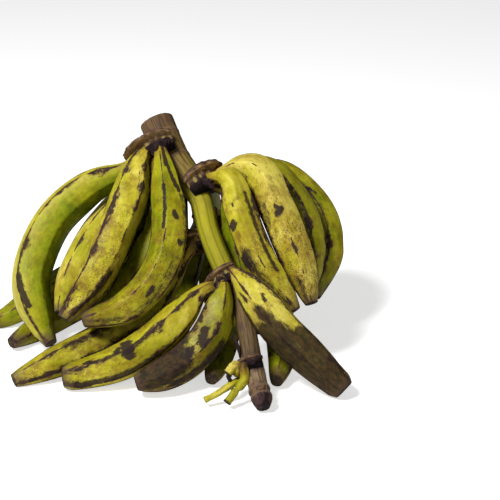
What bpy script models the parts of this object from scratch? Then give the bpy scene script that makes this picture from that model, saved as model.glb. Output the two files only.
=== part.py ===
"""A bunch of green plantains, as cut from the plant and laid down on its fingers.

The bunch is one stalk with six crowns round it. Each crown is a cushion that carries a hand of
curved, angular fingers, and near the stalk's thin end sits a last crown with three stunted ones.
The stalk leans back: its thin end touches the table in front and its cut end is up behind.
Blender units are metres. The tables below are in millimetres and are scaled by MM.
"""

import math

import bpy
import numpy as np

MM = 0.001

# The tables are measured from the stalk's thin end. This point under the middle of the bunch
# becomes the origin of the finished part.
BASE_CENTRE = np.array([-125.0, 180.0, 0.0])

# Clearances, in millimetres.
CUT_GAP = 0.45          # between a piece and the neighbour it grows from
REST_SINK = 2.2         # how far a resting finger would reach into the table: that much is flat
REST_FLAT = 0.8         # what lies nearer to the table than this is pressed flat too
FINGER_GAP = 1.0        # between two fingers, on top of their ridges

# The stalk's middle line from the thin end to the cut end, and its radius there.
# It is thinner below each hand, because part of it goes off into that hand.
STALK = [
    ((-1, -6, 8), 7.5),
    ((-2, 1, 12.5), 11.5),
    ((-5, 14, 17), 12.5),
    ((-7, 21, 21), 11),
    ((-10, 34, 27), 12),
    ((-14, 50, 40), 11.5),
    ((-22, 90, 72), 11),
    ((-31, 118, 92), 12),
    ((-46, 141, 112), 13),
    ((-66, 180, 146), 13),
    ((-77, 214, 177), 14.5),
    ((-91, 233, 194), 18.5),
    ((-111, 258, 214), 20),
    ((-124, 279, 233), 21),
    ((-134, 294, 251), 21.5),
]
STALK_SIDES = 14
STALK_RINGS = 44
STALK_RIB = 0.035       # how far the ribs along the stalk stand out, as a share of its radius

# A crown is a cushion on the stalk. The angles run round the stalk: 0 is its upper side, which
# faces the viewer, and 90 is to the right. reach, its distance from the stalk's thin end, and
# thick are given at the start and at the end of its sweep.
CROWNS = {
    "hand_1": dict(reach=(384, 370), start=-130, end=26, thick=(40, 21), tall=15),
    "hand_2": dict(reach=(302, 311), start=-18, end=150, thick=(15, 32), tall=15),
    "hand_3": dict(reach=(174, 178), start=-104, end=50, thick=(20, 13), tall=10),
    "hand_4": dict(reach=(240, 240), start=-148, end=-72, thick=(15, 15), tall=12),
    "hand_5": dict(reach=(272, 272), start=134, end=228, thick=(15, 15), tall=12),
    "hand_6": dict(reach=(346, 346), start=150, end=222, thick=(16, 16), tall=13),
}
STUNTED_CROWN = dict(reach=(58, 58), start=-120, end=60, thick=(7, 7), tall=9)
CROWN_STEPS = 14
# The crown's section: height along the stalk and depth out from it, as shares of tall and thick.
CROWN_SECTION = [
    (1.15, -0.20),
    (1.10, 0.10),
    (0.62, 0.62),
    (0.05, 0.95),
    (-0.50, 1.00),
    (-0.88, 0.66),
    (-0.95, 0.10),
    (-0.95, -0.20),
]

# Each finger: its hand, its row on the crown (0 outer and upper, 1 inner and lower), its girth,
# the length of its neck (1 where none is given), how blunt its tip is, the turn of its ridges,
# and the points that its middle line passes. The first is where its neck has left the crown.
FINGERS = {
    "finger_1_1": dict(hand="hand_1", row=0, girth=50, tip=0.36, turn=10,
                       line=[(-163, 256, 196), (-208, 256, 164), (-257, 235, 127), (-284, 192, 72),
                             (-271, 156, 33), (-258, 137, 17)]),
    "finger_1_2": dict(hand="hand_1", row=1, girth=44, tip=0.40, turn=30,
                       line=[(-150, 274, 188), (-195, 250, 145), (-220, 217, 110), (-239, 182, 76),
                             (-250, 157, 48)]),
    "finger_1_3": dict(hand="hand_1", row=0, girth=46, neck=0.78, tip=0.38, turn=-5,
                       line=[(-145, 240, 222), (-150, 220, 190), (-172, 175, 146), (-200, 135, 102),
                             (-236, 105, 66)]),
    "finger_1_4": dict(hand="hand_1", row=1, girth=38, tip=0.40, turn=20,
                       line=[(-146, 250, 198), (-147, 230, 155), (-164, 198, 117), (-186, 165, 84),
                             (-211, 140, 62)]),
    "finger_1_5": dict(hand="hand_1", row=1, girth=38, tip=0.40, turn=0,
                       line=[(-136, 230, 204), (-131, 230, 150), (-142, 200, 110), (-166, 168, 76),
                             (-198, 148, 54)]),
    "finger_1_6": dict(hand="hand_1", row=0, girth=44, tip=0.44, turn=15,
                       line=[(-116, 217, 219), (-106, 205, 180), (-105, 168, 140), (-120, 135, 102),
                             (-160, 112, 68), (-211, 105, 55)]),
    "finger_2_1": dict(hand="hand_2", row=1, girth=38, tip=0.40, turn=0,
                       line=[(-51, 212, 190), (-48, 205, 145), (-32, 185, 105), (-14, 160, 66),
                             (2, 132, 32)]),
    "finger_2_2": dict(hand="hand_2", row=0, girth=40, tip=0.40, turn=25,
                       line=[(-40, 192, 208), (-32, 180, 183), (-19, 154, 150), (-2, 127, 119),
                             (17, 105, 95), (31, 92, 77)]),
    "finger_2_3": dict(hand="hand_2", row=0, girth=46, neck=0.8, tip=0.40, turn=0,
                       line=[(-28, 234, 206), (-8, 230, 203), (12, 202, 173), (32, 164, 133),
                             (47, 136, 100), (57, 119, 79)]),
    "finger_2_4": dict(hand="hand_2", row=0, girth=44, neck=0.9, tip=0.40, turn=20,
                       line=[(-32, 250, 197), (2, 258, 192), (38, 236, 158), (54, 200, 125),
                             (57, 160, 79)]),
    "finger_2_5": dict(hand="hand_2", row=0, girth=44, tip=0.40, turn=40,
                       line=[(-42, 262, 190), (-10, 283, 184), (28, 292, 178), (70, 265, 143),
                             (81, 222, 104), (64, 182, 60)]),
    "finger_3_1": dict(rests=True, hand="hand_3", row=0, girth=45, tip=0.62, turn=12,
                       line=[(-72, 112, 96), (-92, 98, 76), (-124, 82, 53), (-162, 68, 33),
                             (-206, 61, 22), (-234, 58, 19)]),
    "finger_3_2": dict(hand="hand_3", row=0, girth=44, tip=0.48, turn=0,
                       line=[(-46, 103, 103), (-54, 88, 73), (-70, 73, 47), (-90, 60, 31),
                             (-118, 42, 23), (-146, 33, 18)]),
    "finger_3_3": dict(rests=True, hand="hand_3", row=0, girth=47, tip=0.62, turn=0,
                       line=[(-24, 101, 115), (-5, 91, 96), (20, 75, 69), (51, 59, 44),
                             (77, 42, 25), (92, 32, 14)]),
    "finger_4_1": dict(rests=True, hand="hand_4", row=0, girth=42, tip=0.45, turn=0,
                       line=[(-88, 210, 134), (-150, 240, 118), (-215, 250, 84), (-272, 240, 52),
                             (-328, 224, 20), (-348, 216, 15)]),
    "finger_4_2": dict(rests=True, hand="hand_4", row=1, girth=40, tip=0.45, turn=30,
                       line=[(-92, 188, 120), (-150, 204, 98), (-205, 216, 66), (-248, 212, 38),
                             (-280, 190, 22), (-308, 150, 14)]),
    "finger_4_3": dict(rests=True, hand="hand_4", row=0, girth=42, tip=0.45, turn=15,
                       line=[(-92, 168, 128), (-146, 150, 80), (-198, 116, 50), (-251, 80, 28),
                             (-291, 60, 14)]),
    "finger_5_1": dict(rests=True, hand="hand_5", row=0, girth=42, tip=0.42, turn=0,
                       line=[(-80, 226, 142), (-92, 236, 105), (-105, 230, 62), (-112, 185, 26),
                             (-108, 125, 21), (-104, 85, 16)]),
    "finger_5_2": dict(rests=True, hand="hand_5", row=1, girth=42, tip=0.42, turn=20,
                       line=[(-58, 214, 145), (-52, 230, 110), (-48, 230, 62), (-49, 180, 26),
                             (-53, 112, 21), (-62, 54, 16)]),
    "finger_5_3": dict(rests=True, hand="hand_5", row=0, girth=42, tip=0.42, turn=0,
                       line=[(-42, 222, 148), (-26, 232, 110), (0, 225, 62), (18, 170, 28),
                             (22, 108, 21), (15, 50, 16)]),
    "finger_6_1": dict(rests=True, hand="hand_6", row=0, girth=42, tip=0.42, turn=0,
                       line=[(-126, 276, 186), (-148, 301, 185), (-170, 327, 140), (-176, 328, 80),
                             (-165, 288, 36), (-152, 240, 20)]),
    "finger_6_2": dict(rests=True, hand="hand_6", row=0, girth=42, tip=0.42, turn=30,
                       line=[(-104, 273, 182), (-119, 306, 174), (-122, 338, 138), (-121, 345, 80),
                             (-115, 304, 34), (-108, 254, 20)]),
    "finger_6_3": dict(rests=True, hand="hand_6", row=0, girth=42, tip=0.42, turn=10,
                       line=[(-88, 268, 192), (-87, 301, 184), (-78, 336, 140), (-72, 340, 80),
                             (-66, 300, 34), (-60, 254, 20)]),
}
FINGER_SIDES = 10
FINGER_STATIONS = [0.0, 0.05, 0.10, 0.15, 0.20, 0.26, 0.33, 0.41, 0.49, 0.57, 0.65, 0.73, 0.80,
                   0.86, 0.91, 0.95, 0.98, 1.0]
# The finger's thickness along its length, as shares of its full girth.
SWELL_AT = np.array([0.0, 0.06, 0.12, 0.20, 0.30, 0.50, 0.70, 0.84])
SWELL = np.array([0.36, 0.37, 0.46, 0.72, 0.93, 1.0, 0.98, 0.86])
RIDGES = 5
RIDGE_RISE = 1.035      # radius at a ridge, as a share of the mean radius
FACE_DROP = 0.94        # radius in the middle of a face

# The stunted fingers of the last crown, which never filled.
STUNTED = {
    "stunted_finger_1": dict(angle=-80, girth=12, line=[(-33, 36, 38), (-42, 30, 31)]),
    "stunted_finger_2": dict(angle=-128, girth=8, line=[(-38, 24, 20), (-53, 15, 14), (-67, 9, 9)]),
    "stunted_finger_3": dict(angle=-32, girth=10, line=[(-22, 22, 29), (-32, 12, 19), (-42, 3, 9)]),
}

# A dried bract is left on the stalk above the stunted fingers: it stands off at its upper end.
BRACT = dict(low=72, high=98, angle=-88, width=15, thick=1.6, stand_off=5)
BRACT_STEPS = 6

COLOURS = {
    "peel": ((0.42, 0.47, 0.05, 1), 0.45),
    "crown": ((0.16, 0.10, 0.06, 1), 0.8),
    "stalk": ((0.32, 0.27, 0.08, 1), 0.6),
    "dry": ((0.05, 0.03, 0.03, 1), 0.9),
}


def clear_scene():
    for obj in list(bpy.data.objects):
        bpy.data.objects.remove(obj, do_unlink=True)


def unit(vector):
    return vector / np.linalg.norm(vector)


def curve_through(points, count):
    """A smooth line through the points, as count points at equal spacing, and its length."""
    knots = np.array(points, float)
    steps = np.sqrt(np.linalg.norm(np.diff(knots, axis=0), axis=1))
    times = np.concatenate([[0.0], np.cumsum(steps)])
    before = 2 * knots[0] - knots[1]
    after = 2 * knots[-1] - knots[-2]
    knots = np.vstack([before, knots, after])
    times = np.concatenate([[times[0] - steps[0]], times, [times[-1] + steps[-1]]])
    fine = []
    for moment in np.linspace(times[1], times[-2], 4 * count):
        i = int(np.clip(np.searchsorted(times, moment, side="right") - 2, 0, len(knots) - 4))
        p, t = knots[i:i + 4], times[i:i + 4]
        level = [mix_between(p[k], p[k + 1], t[k], t[k + 1], moment) for k in range(3)]
        level = [mix_between(level[k], level[k + 1], t[k], t[k + 2], moment) for k in range(2)]
        fine.append(mix_between(level[0], level[1], t[1], t[2], moment))
    return evenly_spaced(np.array(fine), count)


def mix_between(a, b, start, end, moment):
    return (a * (end - moment) + b * (moment - start)) / (end - start)


def evenly_spaced(points, count):
    lengths = np.concatenate([[0.0], np.cumsum(np.linalg.norm(np.diff(points, axis=0), axis=1))])
    marks = np.linspace(0, lengths[-1], count)
    line = np.stack([np.interp(marks, lengths, points[:, k]) for k in range(3)], axis=1)
    return line, lengths[-1]


def smooth_profile(at, values, where):
    """A smooth profile through a few values (cubic, with level slopes kept from the table)."""
    slopes = np.gradient(values, at)
    i = np.clip(np.searchsorted(at, where, side="right") - 1, 0, len(at) - 2)
    width = at[i + 1] - at[i]
    u = (where - at[i]) / width
    return ((2 * u**3 - 3 * u**2 + 1) * values[i] + (u**3 - 2 * u**2 + u) * width * slopes[i]
            + (-2 * u**3 + 3 * u**2) * values[i + 1] + (u**3 - u**2) * width * slopes[i + 1])


def finger_swell(where, tip, neck):
    """The finger's thickness along its length: a slim neck, a full body and a blunt tip."""
    at = np.concatenate([SWELL_AT, [0.92, 0.965, 1.0]])
    at[at < 0.4] *= neck
    share = np.concatenate([SWELL, [0.42 + 0.55 * tip, 0.10 + 0.95 * tip, 0.85 * tip]])
    return smooth_profile(at, share, where)


class Stalk:
    """The stalk's middle line and radius, and places on and round it."""

    def __init__(self):
        count = 160
        self.line, self.length = curve_through([p for p, _ in STALK], count)
        knots = np.array([p for p, _ in STALK], float)
        reach = np.concatenate([[0.0], np.cumsum(np.linalg.norm(np.diff(knots, axis=0), axis=1))])
        self.marks = np.linspace(0, self.length, count)
        radii = np.array([radius for _, radius in STALK], float)
        self.radii = np.interp(self.marks, reach * self.length / reach[-1], radii)

    def frame(self, reach):
        """Centre, direction to the cut end, upper side, right side and radius at a reach."""
        centre = np.array([np.interp(reach, self.marks, self.line[:, k]) for k in range(3)])
        ahead = np.array([np.interp(reach + 12, self.marks, self.line[:, k]) for k in range(3)])
        behind = np.array([np.interp(reach - 12, self.marks, self.line[:, k]) for k in range(3)])
        along = unit(ahead - behind)
        viewer = np.array([0.0, -0.927, 0.375])
        upper = unit(viewer - along * (viewer @ along))
        right = np.cross(along, upper)
        return centre, along, upper, right, float(np.interp(reach, self.marks, self.radii))

    def outward(self, reach, degrees):
        _, _, upper, right, _ = self.frame(reach)
        turn = math.radians(degrees)
        return upper * math.cos(turn) + right * math.sin(turn)

    def angle_of(self, reach, point):
        """The angle round the stalk at which a point lies."""
        centre, _, upper, right, _ = self.frame(reach)
        gap = np.array(point, float) - centre
        return math.degrees(math.atan2(gap @ right, gap @ upper))

    def place(self, reach, degrees, depth):
        """The point that lies depth out from the stalk's surface."""
        centre, _, _, _, radius = self.frame(reach)
        return centre + self.outward(reach, degrees) * (radius + depth)


def mesh_object(name, points, faces, colour, collection=None):
    """A closed mesh object from points in table millimetres, with its faces pointing out."""
    mesh = bpy.data.meshes.new(name)
    placed = (np.array(points) - BASE_CENTRE) * MM
    if volume_of(placed, faces) < 0:
        faces = [tuple(reversed(face)) for face in faces]
    mesh.from_pydata([tuple(p) for p in placed], [], faces)
    mesh.validate()
    mesh.shade_smooth()
    mesh.set_sharp_from_angle(angle=math.radians(50))
    obj = bpy.data.objects.new(name, mesh)
    (collection or bpy.context.scene.collection).objects.link(obj)
    obj.data.materials.append(material(colour))
    return obj


def volume_of(points, faces):
    total = 0.0
    for face in faces:
        first = points[face[0]]
        for b, c in zip(face[1:-1], face[2:]):
            total += first @ np.cross(points[b], points[c])
    return total / 6


def material(name):
    found = bpy.data.materials.get(name)
    if found:
        return found
    colour, roughness = COLOURS[name]
    made = bpy.data.materials.new(name)
    made.use_nodes = True
    shader = made.node_tree.nodes["Principled BSDF"]
    shader.inputs["Base Color"].default_value = colour
    shader.inputs["Roughness"].default_value = roughness
    return made


def skin_faces(rings, sides):
    """The faces of a tube of rings with flat ends, pointing out."""
    faces = []
    for ring in range(rings - 1):
        for side in range(sides):
            a, b = ring * sides + side, ring * sides + (side + 1) % sides
            faces.append((a, b, b + sides, a + sides))
    faces.append(tuple(reversed(range(sides))))
    faces.append(tuple(range((rings - 1) * sides, rings * sides)))
    return faces


def stalk_points(stalk, grow=0.0):
    """Rings round the stalk, with low ribs that run along it."""
    points = []
    for reach in np.linspace(0, stalk.length, STALK_RINGS):
        centre, _, upper, right, radius = stalk.frame(reach)
        for side in range(STALK_SIDES):
            turn = 2 * math.pi * side / STALK_SIDES
            rib = 1 + STALK_RIB * (1 if side % 2 else -1)
            out = upper * math.cos(turn) + right * math.sin(turn)
            points.append(centre + out * (radius * rib + grow))
    return points


def make_stalk(stalk):
    faces = skin_faces(STALK_RINGS, STALK_SIDES)
    return mesh_object("stalk", stalk_points(stalk), faces, "stalk")


def crown_size(crown, angle):
    """The crown's reach along the stalk and its thickness, which change from end to end."""
    share = np.clip((angle - crown["start"]) / (crown["end"] - crown["start"]), 0, 1)
    reach, thick = (pair[0] + share * (pair[1] - pair[0]) for pair in (crown["reach"], crown["thick"]))
    return reach, thick


def crown_points(stalk, crown, grow=0.0):
    """The cushion's section, swept round the stalk and drawn in at both ends."""
    points = []
    spread = math.degrees(grow / 30)
    for step in range(CROWN_STEPS):
        share = step / (CROWN_STEPS - 1)
        angle = crown["start"] - spread + share * (crown["end"] - crown["start"] + 2 * spread)
        fullness = 0.35 + 0.65 * math.sqrt(max(0.0, 1 - (2 * share - 1) ** 4))
        reach, thick = crown_size(crown, angle)
        for height, depth in CROWN_SECTION:
            lift = crown["tall"] * height * (0.7 + 0.3 * fullness)
            out = thick * depth * fullness if depth > 0 else thick * depth
            lift += grow * math.copysign(1, height)
            out += grow if depth > 0 else 0
            points.append(stalk.place(reach + lift, angle, out))
    return points


def make_crown(name, stalk, crown, cutters, stalk_cutter):
    sides = len(CROWN_SECTION)
    faces = skin_faces(CROWN_STEPS, sides)
    body = mesh_object(name + "_crown", crown_points(stalk, crown), faces, "crown")
    cut(body, stalk_cutter)
    return mesh_object(name + "_cutter", crown_points(stalk, crown, CUT_GAP), faces, "crown", cutters)


def cut(body, cutter):
    modifier = body.modifiers.new("cut", "BOOLEAN")
    modifier.operation = "DIFFERENCE"
    modifier.solver = "EXACT"
    modifier.use_self = True
    modifier.object = cutter


class Finger:
    """One finger's middle line, from inside its crown to its tip."""

    def __init__(self, name, row, stalk):
        self.name = name
        self.hand = row["hand"]
        self.tip = row["tip"]
        self.neck = row.get("neck", 1.0)
        self.turn = row["turn"]
        self.girth = row["girth"]
        self.rests = row.get("rests", False)
        crown = CROWNS[self.hand]
        reach, _ = crown_size(crown, stalk.angle_of(crown["reach"][1], row["line"][0]))
        reach -= NECK_DROP if row["row"] == 1 else 0
        root = stalk.place(reach, stalk.angle_of(reach, row["line"][0]), NECK_START)
        self.share = np.linspace(0, 1, SETTLE_STATIONS)
        self.follow(curve_through([root] + row["line"], SETTLE_STATIONS)[0])

    def follow(self, line):
        self.line, self.length = evenly_spaced(line, SETTLE_STATIONS)
        self.radii = self.girth / 2 * finger_swell(self.share, self.tip, self.neck)


SETTLE_STATIONS = 34
SETTLE_ROUNDS = 360
SEAM_NEAR = 1.0         # fingers nearer than this are checked for a seam, in millimetres
NECK_DROP = 9           # how much lower on the stalk the inner row starts
NECK_START = 3          # how far outside the stalk's skin a neck's middle line starts


def settle(fingers, stalk):
    """Fingers that would run into each other, the stalk or the table move apart until they fit.

    Each line keeps its neck where it grows, and its moves are smoothed along its length.
    """
    start = np.stack([f.line for f in fingers])
    shape = start.shape
    radii = np.stack([f.radii for f in fingers]).ravel()
    bulk = radii * RIDGE_RISE + FINGER_GAP / 2
    share = np.tile(fingers[0].share, shape[0])
    owner = np.repeat(np.arange(shape[0]), SETTLE_STATIONS)
    hand = np.array([f.hand for f in fingers])[owner]
    free = np.clip((share - 0.02) / 0.12, 0.08, 1)[:, None]
    posts, post_radii, post_hands = obstacles(stalk)
    apart = (owner[:, None] < owner[None, :]) & (share[:, None] > 0.05) & (share[None, :] > 0.05)
    clear_of_post = (hand[:, None] != post_hands[None, :]) | (share[:, None] > 0.2)
    clear_of_post &= (post_hands[None, :] != "stalk") | (share[:, None] > 0.08)
    points = start.reshape(-1, 3).copy()
    for turn in range(SETTLE_ROUNDS):
        if turn % 20 == 0:
            near = np.linalg.norm(points[:, None] - points[None, :], axis=2)
            one, two = np.nonzero(apart & (near < bulk[:, None] + bulk[None, :] + 12))
            near = np.linalg.norm(points[:, None] - posts[None, :], axis=2)
            mine, post = np.nonzero(clear_of_post & (near < bulk[:, None] + post_radii[None, :] + 12))
        push = np.zeros_like(points)
        shove = press_apart(points[one] - points[two], bulk[one] + bulk[two]) * 0.5
        np.add.at(push, one, shove)
        np.add.at(push, two, -shove)
        np.add.at(push, mine, press_apart(points[mine] - posts[post], bulk[mine] + post_radii[post]))
        points = points + push * free * 0.35
        moved = (points - start.reshape(-1, 3)).reshape(shape)
        for _ in range(2 if turn < SETTLE_ROUNDS - 60 else 1):
            moved[:, 1:-1] = moved[:, 1:-1] * 0.5 + (moved[:, 2:] + moved[:, :-2]) * 0.25
        points = (start + moved).reshape(-1, 3)
        points[:, 2] = np.maximum(points[:, 2], np.where(share > 0.1, radii, 0))
    for finger, line in zip(fingers, points.reshape(shape)):
        finger.follow(line)
        if finger.rests:
            lift = np.min((finger.line[:, 2] - finger.radii)[finger.share > 0.3])
            finger.line[:, 2] -= (lift + REST_SINK) * np.clip(finger.share / 0.4, 0, 1) ** 1.5


def press_apart(gaps, least):
    """How far each pair has to move so that its two places are at least that far apart."""
    dist = np.linalg.norm(gaps, axis=1) + 1e-9
    return gaps / dist[:, None] * np.clip(least - dist, 0, None)[:, None]


def obstacles(stalk):
    """Balls that stand for the stalk and the crowns while the fingers settle."""
    centres, radii, hands = [], [], []
    for reach in np.arange(0, stalk.length, 5):
        centre, _, _, _, radius = stalk.frame(reach)
        centres.append(centre)
        radii.append(radius * (1 + STALK_RIB) + 1)
        hands.append("stalk")
    for name, crown in CROWNS.items():
        for angle in np.arange(crown["start"] + 8, crown["end"] - 7, 9):
            reach, thick = crown_size(crown, angle)
            for lift in (-0.45, 0.1, 0.6):
                depth = thick * (0.35 if lift < 0.5 else 0.0)
                centres.append(stalk.place(reach + lift * crown["tall"], angle, depth))
                radii.append(thick * 0.62 + 1)
                hands.append(name)
    return np.array(centres), np.array(radii), np.array(hands)


def line_frames(line):
    """Direction, outer side and cross side along a line, from the plane that it bends in."""
    ahead = np.gradient(line, axis=0)
    along = ahead / np.linalg.norm(ahead, axis=1)[:, None]
    chord = line[-1] - line[0]
    bow = line[len(line) // 2] - (line[0] + line[-1]) / 2
    across = unit(np.cross(chord, bow))
    outer = np.cross(across, along)
    outer /= np.linalg.norm(outer, axis=1)[:, None]
    if np.mean(outer @ bow) < 0:
        outer = -outer
    return along, outer, np.cross(along, outer)


def finger_points(finger, grow=0.0):
    """Rings of the finger. Its section has five ridges with flatter faces between them."""
    share = np.array(FINGER_STATIONS)
    line = np.stack([np.interp(share, finger.share, finger.line[:, k]) for k in range(3)], axis=1)
    _, outer, cross = line_frames(finger.line)
    outer = np.stack([np.interp(share, finger.share, outer[:, k]) for k in range(3)], axis=1)
    cross = np.stack([np.interp(share, finger.share, cross[:, k]) for k in range(3)], axis=1)
    radii = finger.girth / 2 * finger_swell(share, finger.tip, finger.neck)
    points = []
    for k in range(len(share)):
        for side in range(FINGER_SIDES):
            turn = 2 * math.pi * side / FINGER_SIDES + math.radians(finger.turn)
            shape = RIDGE_RISE if side % 2 == 0 else FACE_DROP
            out = outer[k] * math.cos(turn) + cross[k] * math.sin(turn)
            points.append(line[k] + out * (radii[k] * shape + grow))
    return pressed_flat(points)


def pressed_flat(points):
    """Points that would be in the table, or all but touch it, lie on it."""
    points = np.array(points)
    points[points[:, 2] < REST_FLAT, 2] = 0
    return points


def make_finger(finger, crown_cutter, stalk_cutter):
    faces = skin_faces(len(FINGER_STATIONS), FINGER_SIDES)
    body = mesh_object(finger.name, finger_points(finger), faces, "peel")
    cut(body, crown_cutter)
    cut(body, stalk_cutter)
    return body


def part_neighbours(fingers, bodies, cutters):
    """Fingers that still press on each other keep a seam: the later one is cut back to it."""
    faces = skin_faces(len(FINGER_STATIONS), FINGER_SIDES)
    reach = [f.radii * RIDGE_RISE for f in fingers]
    for one, first in enumerate(fingers):
        cutter = None
        for two in range(one + 1, len(fingers)):
            gap = np.linalg.norm(first.line[:, None] - fingers[two].line[None, :], axis=2)
            if np.min(gap - reach[one][:, None] - reach[two][None, :]) > SEAM_NEAR:
                continue
            if cutter is None:
                points = finger_points(first, CUT_GAP)
                cutter = mesh_object(first.name + "_cutter", points, faces, "peel", cutters)
            cut(bodies[two], cutter)


def make_stunted(name, row, stalk, crown_cutter, stalk_cutter):
    """A finger that never filled: a short tube that swells a little and ends bluntly."""
    sides, stations = 8, 9
    reach = STUNTED_CROWN["reach"][0]
    root = stalk.place(reach - 2, row["angle"], 1.5)
    leave = stalk.place(reach - 5, row["angle"], 7)
    line, _ = curve_through([root, leave] + row["line"], stations)
    _, outer, cross = line_frames(line)
    points = []
    for k in range(stations):
        swell = 0.82 + 0.18 * math.sin(math.pi * min(1, k / (stations - 2)))
        for side in range(sides):
            turn = 2 * math.pi * side / sides
            out = outer[k] * math.cos(turn) + cross[k] * math.sin(turn)
            points.append(line[k] + out * row["girth"] / 2 * swell)
    body = mesh_object(name, pressed_flat(points), skin_faces(stations, sides), "peel")
    cut(body, crown_cutter)
    cut(body, stalk_cutter)
    return body


def make_bract(stalk):
    """A thin flap, wide in the middle, that stands off the stalk more and more towards its end."""
    points = []
    for side in (0.6, 0.6 + BRACT["thick"]):
        for step in range(BRACT_STEPS + 1):
            share = step / BRACT_STEPS
            reach = BRACT["low"] + share * (BRACT["high"] - BRACT["low"])
            half = BRACT["width"] / 2 * (0.35 + 0.65 * math.sin(math.pi * (0.15 + 0.75 * share)))
            depth = side + BRACT["stand_off"] * share ** 1.5
            radius = stalk.frame(reach)[4] + depth
            for across in (-1, -0.4, 0.4, 1):
                spread = math.degrees(half * across / radius)
                lift = 0.8 * STALK_RIB * radius
                points.append(stalk.place(reach, BRACT["angle"] + spread, depth + lift))
    row, layer = 4, 4 * (BRACT_STEPS + 1)
    faces = []
    for step in range(BRACT_STEPS):
        for k in range(row - 1):
            a = step * row + k
            faces.append((a, a + row, a + row + 1, a + 1))
            faces.append((layer + a, layer + a + 1, layer + a + row + 1, layer + a + row))
        for a, sign in ((step * row, 1), (step * row + row - 1, -1)):
            rim = (a, layer + a, layer + a + row, a + row)
            faces.append(rim if sign > 0 else tuple(reversed(rim)))
    for a, sign in ((0, -1), (BRACT_STEPS * row, 1)):
        for k in range(row - 1):
            rim = (a + k, layer + a + k, layer + a + k + 1, a + k + 1)
            faces.append(rim if sign > 0 else tuple(reversed(rim)))
    return mesh_object("bract", points, faces, "dry")


def main():
    clear_scene()
    cutters = bpy.data.collections.new("cutters")
    cutters.hide_render = True
    bpy.context.scene.collection.children.link(cutters)
    stalk = Stalk()
    make_stalk(stalk)
    faces = skin_faces(STALK_RINGS, STALK_SIDES)
    stalk_cutter = mesh_object("stalk_cutter", stalk_points(stalk, CUT_GAP), faces, "stalk", cutters)
    crown_cutters = {}
    for name, crown in {**CROWNS, "stunted": STUNTED_CROWN}.items():
        crown_cutters[name] = make_crown(name, stalk, crown, cutters, stalk_cutter)
    fingers = [Finger(name, row, stalk) for name, row in FINGERS.items()]
    settle(fingers, stalk)
    bodies = [make_finger(f, crown_cutters[f.hand], stalk_cutter) for f in fingers]
    part_neighbours(fingers, bodies, cutters)
    for name, row in STUNTED.items():
        make_stunted(name, row, stalk, crown_cutters["stunted"], stalk_cutter)
    make_bract(stalk)
    for cutter in cutters.objects:
        cutter.hide_render = True
        cutter.display_type = "WIRE"


main()
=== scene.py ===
"""The looks of a bunch of green plantains, cut with its stalk and laid down on its fingers.

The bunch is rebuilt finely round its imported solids, in the order in which it grew: the stalk, the
crowns on it, the fingers that hang from the crowns, and the withered remains near the thin end.
Blender units are metres. The tables are in millimetres from the stalk's thin end, as they are in
the solids' own source, and are scaled by MM.
"""

import math

import bpy
import numpy as np
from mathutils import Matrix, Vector, noise


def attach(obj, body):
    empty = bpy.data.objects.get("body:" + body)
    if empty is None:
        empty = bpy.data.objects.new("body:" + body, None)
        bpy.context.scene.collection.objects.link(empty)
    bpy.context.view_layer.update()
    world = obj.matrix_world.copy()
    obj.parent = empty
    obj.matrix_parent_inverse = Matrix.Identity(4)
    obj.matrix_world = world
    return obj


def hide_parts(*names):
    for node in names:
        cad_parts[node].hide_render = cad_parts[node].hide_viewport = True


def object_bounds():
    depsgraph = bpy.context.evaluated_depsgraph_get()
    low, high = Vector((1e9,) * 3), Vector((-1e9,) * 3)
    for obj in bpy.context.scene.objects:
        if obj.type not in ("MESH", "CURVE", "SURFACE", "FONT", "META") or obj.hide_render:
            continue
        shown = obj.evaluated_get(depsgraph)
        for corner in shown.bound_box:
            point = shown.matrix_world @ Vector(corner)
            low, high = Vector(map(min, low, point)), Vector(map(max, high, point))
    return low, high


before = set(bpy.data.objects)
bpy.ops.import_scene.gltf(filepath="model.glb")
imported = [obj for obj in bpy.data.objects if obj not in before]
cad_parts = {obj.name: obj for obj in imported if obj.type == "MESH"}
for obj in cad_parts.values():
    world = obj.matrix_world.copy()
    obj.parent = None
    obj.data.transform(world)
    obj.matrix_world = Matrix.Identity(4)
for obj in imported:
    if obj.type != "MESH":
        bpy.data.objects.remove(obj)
solid_low, solid_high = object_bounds()

# The stalk is the plant's fibrous fruit stem. It was cut through at its thick end, is still green
# between its hands, and dries to brown and then to a purple-black stub at its thin end.
MM = 0.001
# The place in the tables of the frame's origin: on the table, under the middle of the bunch.
BASE_CENTRE = np.array([-125.0, 180.0, 0.0])
# Each row is a point on the stalk's middle line and the stalk's radius there.
STALK = [
    ((-1, -6, 8), 7.5),
    ((-2, 1, 12.5), 11.5),
    ((-5, 14, 17), 12.5),
    ((-7, 21, 21), 11),
    ((-10, 34, 27), 12),
    ((-14, 50, 40), 11.5),
    ((-22, 90, 72), 11),
    ((-31, 118, 92), 12),
    ((-46, 141, 112), 13),
    ((-66, 180, 146), 13),
    ((-77, 214, 177), 14.5),
    ((-91, 233, 194), 18.5),
    ((-111, 258, 214), 20),
    ((-124, 279, 233), 21),
    ((-134, 294, 251), 21.5),
]
STALK_SIDES = 96
STALK_RINGS = 250
STALK_STATIONS = 160
DIRECTION_SPAN = 12
TOWARDS_VIEWER = np.array([0.0, -0.927, 0.375])
# Reaches are measured along the stalk from its thin end.
RING_SCARS = (14, 24, 66, 168, 184, 318, 352, 392)
RING_SCAR = dict(width=1.6, height=0.7)
WAIST = dict(at=19, width=3.0, depth=0.13)
GREEN = dict(start=172, rise=14, end=345, fade=60)
DRY_TIP = 60
STALK_FACETS = 7
FACET_GROOVE = 0.13
FIBRE_RIDGES = 19
# How far each form stands out or in, as a share of the stalk's radius.
STALK_RELIEF = dict(facet=0.11, ridge=0.006, dry_ridge=0.012, lump=0.025, fibre=0.012)
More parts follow.
